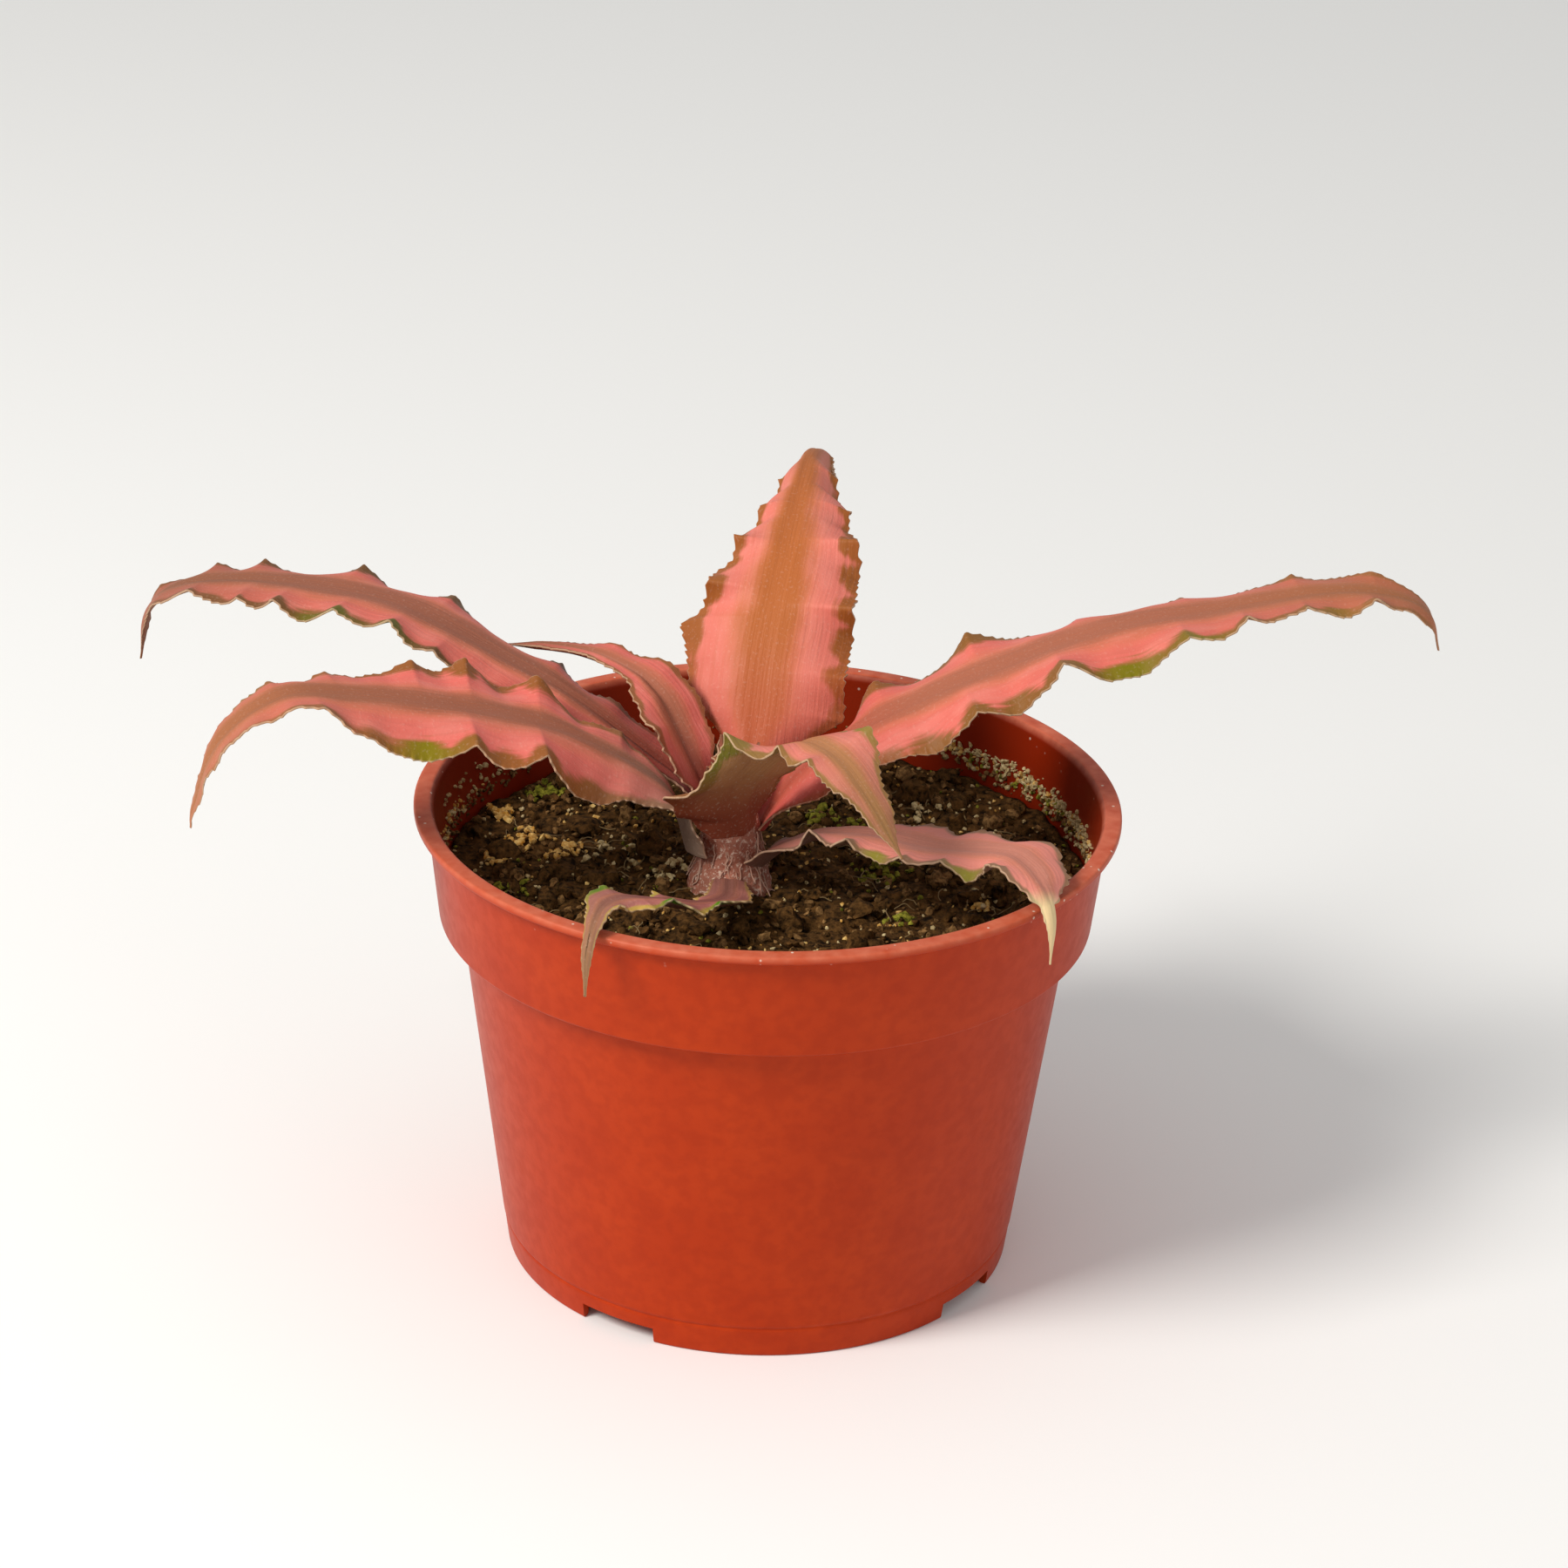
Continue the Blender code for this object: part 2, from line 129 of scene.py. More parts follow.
# %% [markdown]
# ## Pieces
# A bmesh is Blender's editable mesh. Each piece is shaped in one, in millimetres round the pot's axis. It is
# then scaled to metres and moved to its place inside its own mesh, so the object stays at the origin and a
# pattern on its Object coordinates doesn't slide when the part is moved.

# %% turn a bmesh into a piece
def in_scene(name, data):
    """A new object that holds the data, linked into the scene."""
    thing = bpy.data.objects.new(name, data)
    bpy.context.scene.collection.objects.link(thing)
    return thing


def to_mesh(bm, name):
    """The bmesh as a mesh. The bmesh itself is freed."""
    mesh = bpy.data.meshes.new(name)
    bm.to_mesh(mesh)
    bm.free()
    return mesh


def to_metres(bm):
    """Turns millimetres from the pot's axis into metres in the CAD frame."""
    bmesh.ops.transform(bm, matrix=Matrix.Translation(AXIS) @ Matrix.Scale(MM, 4), verts=bm.verts)


def finish_piece(name, mesh, materials, node):
    """A mesh in metres as a piece that rides on the part's one body and stands for a CAD node."""
    mesh.shade_smooth()
    for material in materials:
        mesh.materials.append(material)
    piece = in_scene(name, mesh)
    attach(piece, "root")
    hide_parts(node)
    return piece


def add_piece(name, bm, materials, node):
    """A bmesh in millimetres from the pot's axis as a piece."""
    to_metres(bm)
    return finish_piece(name, to_mesh(bm, name), materials, node)


print("pot axis at", [round(c / MM, 2) for c in AXIS], "mm")

# %% bake modifiers, and spin a profile
ROUND = 2 * math.pi
MERGE = 0.0005


def evaluated_mesh(thing):
    """The object as its modifiers or its bevel leave it, as a mesh of its own."""
    bpy.context.view_layer.update()
    graph = bpy.context.evaluated_depsgraph_get()
    return bpy.data.meshes.new_from_object(thing.evaluated_get(graph))


def apply_modifiers(piece):
    """Bakes the modifiers into the mesh, so that its UV map and attributes are final."""
    mesh = evaluated_mesh(piece)
    piece.modifiers.clear()
    piece.data = mesh


def spun(profile, steps):
    """A closed solid of revolution from (radius, height) points, its seam and poles merged, facing out."""
    bm = bmesh.new()
    row = [bm.verts.new((r, 0, z)) for r, z in profile]
    edges = [bm.edges.new(pair) for pair in zip(row, row[1:])]
    bmesh.ops.spin(
        bm, geom=row + edges, cent=(0, 0, 0), axis=(0, 0, 1), angle=ROUND, steps=steps, use_merge=True
    )
    bmesh.ops.remove_doubles(bm, verts=bm.verts, dist=MERGE)
    bmesh.ops.recalc_face_normals(bm, faces=bm.faces)
    return bm


print("merged below", MERGE, "mm")

# %% [markdown]
# ## The pot's material
# A nursery pot is injection-moulded polypropylene, coloured all through in terracotta red. The mould leaves
# it satin, with a very fine orange-peel texture, so highlights are soft. Hard water has dried on the rim,
# which pales it and leaves white specks. The height tells the rim from the rest, and the distance from the
# axis tells the band's inner side from its outer one. The inner side gets a darker red as painted shade.

# %% where the plastic is paler, darker or specked
# Radii and heights in mm, from the rim down.
RIM_RADIUS, RIM_Z, LIP = 52.5, 72.7, 1.2
BAND_TOP, BAND_FOOT, BAND_FOOT_Z = 50.6, 48.8, 55.3
BODY_TOP, BODY_FOOT, SEAM_Z, FOOT = 45.6, 39.1, 4.9, 38.4
WALL, FLOOR_Z, FLOOR_THICKNESS = 1.1, 3.2, 1.4
FLOOR_TOP = FLOOR_Z + FLOOR_THICKNESS
# The inner wall steps out to the band between these two heights.
STEP_Z, STEP_TOP_Z = BAND_FOOT_Z + 1, BAND_FOOT_Z + 1.6
CLOUD_SIZE, MARK_SIZE, SPECK_PITCH, PEEL_SIZE, PEEL_DEPTH = 9, 2, 1.1, 0.7, 0.015


def pot_masks(tree, place, marks):
    """A mask for each colour that lies over the plastic's own, with painted shade on the band's inner side.
    """
    centred = add_node(tree, "Mapping", {"Vector": place, "Location": -AXIS})[0]
    height = add_node(tree, "SeparateXYZ", {"Vector": centred})["Z"]
    flat = add_node(tree, "VectorMath", {0: centred, 1: (1, 1, 0)}, operation="MULTIPLY")[0]
    radius = add_node(tree, "VectorMath", {0: flat}, operation="LENGTH")["Value"]
    # Cloudy pigment, and mineral specks in the middles of Voronoi cells.
    cloud = add_node(tree, "TexNoise", {"Vector": place, "Scale": 1 / (CLOUD_SIZE * MM), "Detail": 3})["Fac"]
    cells = add_node(tree, "TexVoronoi", {"Vector": place, "Scale": 1 / (SPECK_PITCH * MM)})
    lot = add_node(tree, "SeparateColor", {"Color": cells["Color"]})["Red"]
    # The middle of the band's wall is nearer the axis at its foot than at its top.
    wall_foot, wall_top = (BAND_FOOT - WALL / 2) * MM, (BAND_TOP - WALL / 2) * MM
    masks = {}
    for word, value, start, end, least, most in (
        ("middle", height, BAND_FOOT_Z * MM, (RIM_Z - LIP) * MM, wall_foot, wall_top),
        ("rim", height, (RIM_Z - 1.1) * MM, (RIM_Z - 0.1) * MM, 0, 1),
        ("near_rim", height, (RIM_Z - 4) * MM, RIM_Z * MM, 0, 0.9),
        ("speck", cells["Distance"], 0.24, 0.12, 0, 1),
        ("pale", cloud, 0.35, 0.75, 0, 0.45),
        ("grain", marks, 0.4, 0.62, 0, 0.35),
    ):
        settings = {"Value": value, "From Min": start, "From Max": end, "To Min": least, "To Max": most}
        masks[word] = add_node(tree, "MapRange", settings)[0]
    # Some hold only where another one does: on the band's inner side, which takes the painted shade, on one
    # cell in seven, by the rim.
    for word, first, operation, second in (
        ("painted_shade_inside", radius, "LESS_THAN", "middle"),
        ("band", height, "GREATER_THAN", (BAND_FOOT_Z + 0.8) * MM),
        ("painted_shade_inside", "painted_shade_inside", "MULTIPLY", "band"),
        ("rim", "rim", "MULTIPLY", marks),
        ("chosen", lot, "GREATER_THAN", 0.86),
        ("speck", "speck", "MULTIPLY", "chosen"),
        ("speck", "speck", "MULTIPLY", "near_rim"),
    ):
        values = {0: masks.get(first, first), 1: masks.get(second, second)}
        masks[word] = add_node(tree, "Math", values, operation=operation)[0]
    return masks


print("pot:", 2 * RIM_RADIUS, "mm across its rim and", RIM_Z, "mm high")

# %% moulded polypropylene
def pot_plastic():
    material, tree, shader = new_material(
        "moulded_polypropylene", Metallic=0.0, IOR=1.49, Specular_IOR_Level=0.14
    )
    place = add_node(tree, "TexCoord")["Object"]
    marks = add_node(tree, "TexNoise", {"Vector": place, "Scale": 1 / (MARK_SIZE * MM), "Detail": 4})["Fac"]
    masks = pot_masks(tree, place, marks)
    # The darker red on the band's inner side is painted shade, for the shadow inside the pot.
    layers = [
        (masks["pale"], "#BE3F0C"), (masks["grain"], "#982803"), (masks["painted_shade_inside"], "#842004"),
        (masks["rim"], "#DC7E60"), (masks["speck"], "#E8D8C6"),
    ]
    # Orange peel is the plastic's only relief.
    peel = add_node(tree, "TexNoise", {"Vector": place, "Scale": 1 / (PEEL_SIZE * MM), "Detail": 2})["Fac"]
    paint(tree, shader, "#AC3104", layers, peel, PEEL_DEPTH)
    gloss = add_node(tree, "MapRange", {"Value": marks, "To Min": 0.34, "To Max": 0.5})[0]
    tree.links.new(gloss, shader.inputs["Roughness"])
    return material


POT_PLASTIC = pot_plastic()
print("material:", POT_PLASTIC.name)

# %% [markdown]
# ## The pot
# The pot is one shell: a flat lip, a tall band under it, a step in to the tapering body, and a foot with four
# notches and eight drain holes. Every moulded pot is a solid of revolution, so it is spun from its profile,
# whose corners are small arcs that catch the light as moulded edges do. A Boolean cuts the notches and the
# holes. It is applied, and the cutters are removed.

# %% spin the pot
POT_STEPS, CORNER, CORNER_STEPS = 192, 0.45, 4


def rounded(points):
    """The same profile with each inner corner turned into a short arc."""
    smooth = [points[0]]
    for before, corner, after in zip(points, points[1:], points[2:]):
        corner = Vector(corner)
        sides = [Vector(before) - corner, Vector(after) - corner]
        start, end = (corner + side.normalized() * min(CORNER, side.length * 0.4) for side in sides)
        for step in range(CORNER_STEPS + 1):
            t = step / CORNER_STEPS
            smooth.append(tuple(start * (1 - t) ** 2 + corner * 2 * t * (1 - t) + end * t**2))
    return smooth + [points[-1]]


pot_profile = [
    (0, FLOOR_TOP), (BODY_FOOT - WALL, FLOOR_TOP), (BODY_TOP - WALL, STEP_Z), (BAND_FOOT - WALL, STEP_TOP_Z),
    (BAND_TOP - WALL, RIM_Z - 0.9), (BAND_TOP - WALL + 0.5, RIM_Z), (RIM_RADIUS, RIM_Z),
    (RIM_RADIUS, RIM_Z - LIP), (BAND_TOP, RIM_Z - LIP - 0.3), (BAND_FOOT, BAND_FOOT_Z),
    (BODY_TOP, BAND_FOOT_Z - 0.2), (BODY_FOOT + 0.1, SEAM_Z + 0.4), (BODY_FOOT - 0.25, SEAM_Z),
    (BODY_FOOT - 0.1, SEAM_Z - 0.4), (FOOT, 0), (FOOT - WALL, 0), (FOOT - WALL, FLOOR_Z), (0, FLOOR_Z),
]
pot = add_piece("pot_shell", spun(rounded(pot_profile), POT_STEPS), [POT_PLASTIC], "pot")
print("pot faces:", len(pot.data.polygons))

# %% cut the notches and the drain holes
NOTCHES, NOTCH_WIDTH, NOTCH_HEIGHT = (-122, -34, 56, 146), 12.5, 2.6
DRAIN_HOLES, DRAIN_RADIUS, DRAIN_RING = 8, 3.5, 25.0
# How far a cutter reaches through the wall, and through the floor.
THROUGH_WALL, THROUGH_FLOOR = 8, 6
cutters = bmesh.new()
for heading in NOTCHES:
    made = bmesh.ops.create_cube(cutters, size=1)["verts"]
    bmesh.ops.scale(cutters, vec=(THROUGH_WALL, NOTCH_WIDTH, 2 * NOTCH_HEIGHT), verts=made)
    turn = Matrix.Rotation(math.radians(heading), 4, "Z")
    bmesh.ops.transform(cutters, matrix=turn @ Matrix.Translation((FOOT, 0, 0)), verts=made)
for index in range(DRAIN_HOLES):
    turn = Matrix.Rotation(ROUND * index / DRAIN_HOLES, 4, "Z")
    made = bmesh.ops.create_cone(
        cutters, cap_ends=True, segments=32, radius1=DRAIN_RADIUS, radius2=DRAIN_RADIUS, depth=THROUGH_FLOOR
    )["verts"]
    bmesh.ops.transform(cutters, matrix=turn @ Matrix.Translation((DRAIN_RING, 0, FLOOR_Z)), verts=made)
to_metres(cutters)
cutter = in_scene("cutters", to_mesh(cutters, "cutters"))
boolean = pot.modifiers.new("notches and holes", "BOOLEAN")
boolean.operation, boolean.solver, boolean.object = "DIFFERENCE", "EXACT", cutter
apply_modifiers(pot)
bpy.data.objects.remove(cutter)
pot.data.set_sharp_from_angle(angle=math.radians(40))
print("with its holes:", len(pot.data.polygons))

# %% [markdown]
# ## Soil materials
# Potting soil is peat and composted bark: nearly black where it is wet and brown where it has dried. It is
# dull, because its rough surface scatters light in every direction. Over it lie pale mineral grains, an ochre
# salt crust and a little moss. One function makes them all, as they differ only in their two colours, their
# grain and their roughness.

# %% peat, bark, crust and moss
def crumb_material(name, dark, light, grain, relief, roughness):
    """Two colours in patches of a grain size, with finer spots over them. Grain and relief are in mm."""
    material, tree, shader = new_material(name, Roughness=roughness, Metallic=0.0, Specular_IOR_Level=0.1)
    place = add_node(tree, "TexCoord")["Object"]
    settings = {"Vector": place, "Scale": 1 / (grain * MM), "Detail": 5, "Roughness": 0.65}
    patch = add_node(tree, "TexNoise", settings)["Fac"]
    share = add_node(tree, "MapRange", {"Value": patch, "From Min": 0.36, "From Max": 0.66})[0]
    paint(tree, shader, dark, [(share, light)], patch, relief)
    return material


SOIL_MATERIALS = [
    crumb_material("damp_peat", "#1A0F04", "#6E4C26", 1.2, 0.6, 0.95),
    crumb_material("composted_bark", "#40290F", "#A47C4C", 0.9, 0.4, 0.9),
    crumb_material("ochre_salt_crust", "#BE8024", "#FBDA8C", 0.8, 0.2, 0.85),
    crumb_material("pale_mineral_grain", "#A08450", "#F0DDAA", 0.7, 0.2, 0.8),
    crumb_material("moss", "#4A4E10", "#A8A23A", 0.9, 0.3, 0.9),
]
PEAT, BARK, OCHRE, PALE, MOSS = range(5)
print("soil materials:", [material.name for material in SOIL_MATERIALS])

# %% [markdown]
# ## The soil
# The soil fills the pot to about a centimetre under its rim and mounds up slightly round the plant. It is a
# spun solid with close rings on its top, and noise then lifts each point of the top: in lumps as wide as a
# finger, and in crumbs over them.

# %% the body of soil
SOIL_Z, SOIL_RISE, SOIL_SPREAD, SOIL_GAP = 60.6, 1.2, 22.0, 0.5
STEM = (-5.4, -5.8)
SOIL_STEPS, SOIL_RINGS = 220, 64
# The width and the height of lumps, smaller lumps and crumbs, and where each reads the noise.
RELIEF = ((9, 0.9, 0), (3, 0.7, 5), (1.1, 0.45, 9))


def wall_radius(z):
    """The band's inner wall."""
    return BAND_FOOT - WALL + (z - BAND_FOOT_Z) / (RIM_Z - LIP - BAND_FOOT_Z) * (BAND_TOP - BAND_FOOT)


def soil_height(x, y):
    """The soil's top: its level, the mound at the stem and the relief."""
    mound = SOIL_RISE * math.exp(-((math.hypot(x - STEM[0], y - STEM[1]) / SOIL_SPREAD) ** 2))
    relief = (height * noise.noise(Vector((x / width, y / width, layer))) for width, height, layer in RELIEF)
    return SOIL_Z + mound + sum(relief)


soil_edge = wall_radius(SOIL_Z) - SOIL_GAP
soil_profile = [(soil_edge * ring / SOIL_RINGS, SOIL_Z) for ring in range(SOIL_RINGS + 1)] + [
    (BAND_FOOT - WALL - SOIL_GAP, STEP_TOP_Z + SOIL_GAP),
    (BODY_TOP - WALL - SOIL_GAP, STEP_Z + SOIL_GAP),
    (BODY_FOOT - WALL - SOIL_GAP, FLOOR_TOP + SOIL_GAP),
    (0, FLOOR_TOP + SOIL_GAP),
]
bm = spun(soil_profile, SOIL_STEPS)
for vert in bm.verts:
    if vert.co.z > SOIL_Z - 0.01:
        vert.co.z = soil_height(vert.co.x, vert.co.y)
soil = add_piece("soil_body", bm, [SOIL_MATERIALS[PEAT]], "soil")
print("soil faces:", len(soil.data.polygons))

# %% [markdown]
# ## Crumbs, grains and crust
# What makes soil look like soil is its loose crumbs. Each is a low icosphere, squashed, turned and knocked
# out of shape at random, with a fixed seed so that every run gives the same pot. Peat and bark lie
# everywhere. The ochre crust, the moss and the pale grains keep to the patches where water collects, and a
# line of lime and crumbs clings to the wall where the soil once stood higher.

# %% one crumb, and where crumbs lie
draw = random.Random(11)


def add_crumb(place, size, kind, facets=1):
    """One crumb of a size in mm, with its points knocked out of place, as a mesh."""
    bm = bmesh.new()
    turn = Matrix.Rotation(draw.uniform(0, ROUND), 4, "Z") @ Matrix.Rotation(draw.uniform(-1, 1), 4, "X")
    squash = [size * draw.uniform(*spread) for spread in ((0.7, 1.3), (0.7, 1.3), (0.5, 1))]
    matrix = Matrix.Translation(place) @ turn @ Matrix.Diagonal((*squash, 1))
    made = bmesh.ops.create_icosphere(bm, subdivisions=facets, radius=0.5, matrix=matrix)["verts"]
    for vert in made:
        vert.co += (vert.co - Vector(place)) * draw.uniform(-0.3, 0.35)
    for face in bm.faces:
        face.material_index = kind
    return to_mesh(bm, "crumb")


def add_crumbs(name, meshes):
    """One piece of many crumbs. Joining finished meshes is far quicker than growing one large bmesh."""
    bm = bmesh.new()
    for mesh in meshes:
        bm.from_mesh(mesh)
    bpy.data.batch_remove(meshes)
    piece = add_piece(name, bm, SOIL_MATERIALS, "soil")
    piece.data.set_sharp_from_angle(angle=math.radians(50))
    return piece


def on_soil(x, y, rise):
    return (x, y, soil_height(x, y) + rise)


def anywhere(reach):
    """A random place on the soil, as likely in one part of it as in another."""
    distance, turn = reach * math.sqrt(draw.random()), draw.uniform(0, ROUND)
    return distance * math.cos(turn), distance * math.sin(turn)


print("the soil's top is", round(soil_edge, 1), "mm in radius")

# %% scatter the crumbs
crumbs = []
# Everywhere: how many, the smallest and the largest in mm, what they are and how finely they are faceted.
for count, smallest, largest, kind, facets in (
    (80, 2.6, 4.6, PEAT, 2), (420, 1, 2.4, PEAT, 1), (60, 1.8, 3.4, BARK, 2), (1100, 0.45, 1.5, BARK, 1),
    (480, 0.3, 0.8, PALE, 1), (420, 0.3, 0.8, OCHRE, 1), (150, 0.4, 1, MOSS, 1),
):
    for _ in range(count):
        size = draw.uniform(smallest, largest)
        x, y = anywhere(soil_edge - size / 2)
        crumbs.append(add_crumb(on_soil(x, y, 0.2 * size), size, kind, facets))
# Patches: the middle in mm from the pot's axis, its spread, the number of grains and what they are.
for x, y, spread, count, kind in (
    (-40.5, 17.5, 2.6, 26, OCHRE), (-35.5, 8.8, 3.2, 40, OCHRE), (-31.5, 3, 2, 18, OCHRE),
    (-41, 2.5, 2, 14, OCHRE), (-29, 6, 1.4, 9, OCHRE), (-27, 14, 2.2, 9, OCHRE),
    (32.3, -10.1, 1.5, 8, OCHRE), (-26.5, 21, 1, 4, OCHRE), (21.5, -24, 2.2, 10, OCHRE),
    (-34, 25.5, 3, 30, MOSS), (8, 18.5, 3.4, 34, MOSS), (15.5, 15.5, 3, 16, MOSS), (17, -0.5, 4, 34, MOSS),
    (-38, -8, 2.6, 22, MOSS), (20, -16, 3, 14, MOSS), (-22, 3.5, 4, 22, PALE), (-14, -3, 4, 26, PALE),
    (30.5, -27, 3, 18, PALE), (26, -26, 3, 16, OCHRE), (24, 22, 7, 22, PALE), (33, -9, 3, 10, PALE),
):
    for _ in range(count):
        grain_x, grain_y = draw.gauss(x, spread / 2), draw.gauss(y, spread / 2)
        if math.hypot(grain_x, grain_y) < soil_edge - 0.6:
            size = draw.uniform(0.6, 1.4)
            crumbs.append(add_crumb(on_soil(grain_x, grain_y, 0.45), size, kind))
soil_crumbs = add_crumbs("soil_crumbs", crumbs)
print("crumb faces:", len(soil_crumbs.data.polygons))

# %% crust on the pot's wall
crust = []
# Arcs: first and last heading in degrees, the height at each end in mm, the number of grains and their kind.
for start, end, start_z, end_z, count, kind in (
    (58, 36, 64.4, 64.8, 130, PALE), (36, 8, 64.6, 64.2, 170, PALE), (8, -12, 64.2, 62.4, 90, PALE),
    (56, 5, 62.4, 62.2, 90, BARK), (52, 14, 63.4, 62.8, 40, MOSS), (185, 140, 63.5, 65.5, 60, PALE),
    (190, 140, 62.6, 62.8, 90, BARK), (178, 150, 67.5, 67.5, 22, PALE), (135, 60, 62.6, 63, 60, BARK),
    (50, 10, 62.4, 62, 60, PALE), (56, -8, 64.2, 63.4, 90, OCHRE), (185, 145, 64, 65, 30, OCHRE),
):
    for _ in range(count):
        t = draw.random()
        z = start_z + (end_z - start_z) * t + draw.gauss(0, 0.7)
        turn = math.radians(start + (end - start) * t)
        size = draw.uniform(0.35, 1.0)
        radius = wall_radius(z) - 0.3 * size
        crust.append(add_crumb((radius * math.cos(turn), radius * math.sin(turn), z), size, kind))
wall_crust = add_crumbs("wall_crust", crust)
print("crust faces:", len(wall_crust.data.polygons))

# %% [markdown]
# ## Fibres
# Fine peat fibres and old roots lie over the soil, and torn leaf bases on the stem. A curve with a thin round
# bevel draws a strand in a few lines. All strands are splines of one curve object, which is then turned into
# a mesh, because a finished piece has to be one.

# %% strands
def fibre_material(name, dark, light):
    """Dry plant fibre: dull, its colour changing every 3 mm."""
    material, tree, shader = new_material(name, Roughness=0.8, Metallic=0.0)
    place = add_node(tree, "TexCoord")["Object"]
    patch = add_node(tree, "TexNoise", {"Vector": place, "Scale": 1 / (3 * MM)})["Fac"]
    paint(tree, shader, dark, [(patch, light)])
    return material


def add_strands(name, lines, thickness, material, node):
    """One piece made of round strands through lists of points in mm."""
    curve = bpy.data.curves.new(name, "CURVE")
    curve.dimensions, curve.bevel_depth, curve.bevel_resolution = "3D", thickness / 2 * MM, 1
    curve.use_fill_caps = True
    for line in lines:
        spline = curve.splines.new("POLY")
        spline.points.add(len(line) - 1)
        for point, place in zip(spline.points, line):
            point.co = (*(AXIS + Vector(place) * MM), 1)
    drawn = in_scene(name, curve)
    mesh = evaluated_mesh(drawn)
    bpy.data.objects.remove(drawn)
    mesh.materials.clear()
    print(name + ":", len(lines), "strands,", len(mesh.polygons), "faces")
    return finish_piece(name, mesh, [material], node)


PEAT_FIBRE = fibre_material("peat_fibre", "#5A4224", "#A88E5C")
TORN_FIBRE = fibre_material("torn_leaf_base_fibre", "#A0644C", "#DCBCA6")
print("materials:", PEAT_FIBRE.name, TORN_FIBRE.name)

# %% strands on the soil
lines = []
for _ in range(110):
    x, y = anywhere(soil_edge - 5)
    turn, length = draw.uniform(0, ROUND), draw.uniform(2, 6)
    line = []
    for step in range(9):
        turn += draw.gauss(0, 0.25)
        x, y = x + math.cos(turn) * length / 8, y + math.sin(turn) * length / 8
        if math.hypot(x, y) > soil_edge - 0.5:
            break
        line.append(on_soil(x, y, 0.35 + 0.5 * math.sin(math.pi * step / 8)))
    if len(line) > 2:
        lines.append(line)
add_strands("soil_fibres", lines, 0.16, PEAT_FIBRE, "soil")

# %% [markdown]
# ## The stem
# The short stem under the rosette is wrapped in dry leaf bases and pale scurf, the tiny scales that
# bromeliads drink with. It is spun from its profile and made lumpy with noise. Its pink-brown skin is flecked
# with pale scales, and strands of torn leaf base lie down it.

# %% scurfy skin
def stem_skin():
    """Streaks 4 mm long, under pale scales 0.6 mm across."""
    material, tree, shader = new_material("scurfy_stem_skin", Roughness=0.75, Metallic=0.0)
    place = add_node(tree, "TexCoord")["Object"]
    size = (1 / (0.8 * MM), 1 / (0.8 * MM), 1 / (4 * MM))
    long = add_node(tree, "Mapping", {"Vector": place, "Scale": size})[0]
    streak = add_node(tree, "TexNoise", {"Vector": long, "Scale": 1, "Detail": 3})["Fac"]
    settings = {"Vector": place, "Scale": 1 / (0.6 * MM), "Detail": 4, "Roughness": 0.7}
    scales = add_node(tree, "TexNoise", settings)["Fac"]
    flecks = add_node(tree, "MapRange", {"Value": scales, "From Min": 0.515, "From Max": 0.636})[0]
    paint(tree, shader, "#BC7C64", [(streak, "#8C4630"), (flecks, "#E0C4B0")], scales, 0.25)
    return material


STEM_SKIN = stem_skin()
print("material:", STEM_SKIN.name)

# %% the stem
STEM_PROFILE = ((0, 75.2), (2.2, 74.6), (3.6, 72.8), (4.2, 70.5), (4.7, 67), (5.6, 62.5), (5.8, 57))
STEM_TOP_Z, STEM_FOOT_Z, STEM_ROWS, STEM_STEPS = 75.2, 57, 60, 72
FLARE, FLARE_Z, FLARE_HEIGHT = 1.1, 66, 6


def stem_radius(z):
    """The bare stem's radius at a height, or at an array of them."""
    return np.interp(-z, [-height for _, height in STEM_PROFILE], [radius for radius, _ in STEM_PROFILE])


def stem_flare(z):
    """How much further out the foot stands."""
    return FLARE * max(0, (FLARE_Z - z) / FLARE_HEIGHT)


heights = np.linspace(STEM_TOP_Z, STEM_FOOT_Z, STEM_ROWS)
bm = spun([*zip(stem_radius(heights), heights), (0, STEM_FOOT_Z)], STEM_STEPS)
for vert in bm.verts:
    out = Vector((vert.co.x, vert.co.y, 0))
    if out.length > 0.1:
        lump = noise.noise(vert.co / 3) * 0.6 + noise.noise(vert.co / 0.9) * 0.2
        vert.co += out.normalized() * (stem_flare(vert.co.z) + lump)
bmesh.ops.translate(bm, vec=(*STEM, 0), verts=bm.verts)
stem = add_piece("stem_core", bm, [STEM_SKIN], "stem")
print("stem faces:", len(stem.data.polygons))

# %% torn leaf bases on the stem
lines = []
for _ in range(44):
    turn, top = draw.uniform(0, ROUND), draw.uniform(64, 71)
    fall, lift = draw.uniform(2, 5.5), draw.uniform(0.1, 0.9)
    line = []
    for step in range(7):
        t = step / 6
        z = max(top - fall * t, 60.5)
        radius = stem_radius(z) + stem_flare(z) + 0.2 + lift * t**3
        turn += draw.gauss(0, 0.06)
        line.append((STEM[0] + radius * math.cos(turn), STEM[1] + radius * math.sin(turn), z))
    lines.append(line)
add_strands("stem_fibres", lines, 0.2, TORN_FIBRE, "stem")

# %% [markdown]
# ## Leaves: the shape
# An earth star's leaf is a stiff, thick blade with a waved edge and a comb of tiny soft spines. It is easiest
# to describe as it grows: a midrib curve, a half width to the left and right of it, and how far each edge
# waves up or down. The lists hold each leaf's heading round the plant in degrees, the midrib's points (out,
# across, up) in millimetres, and the widths and waves as (percent of the length, millimetres). The green
# places are (side, percent, spread in percent), with side 1 for the left edge and -1 for the right. A lobe
# peak above 1 gives pointed lobes, and a fold above 1 a deeper channel.

# %% the leaves' curves
PLANT = (-5.0, -5.0)
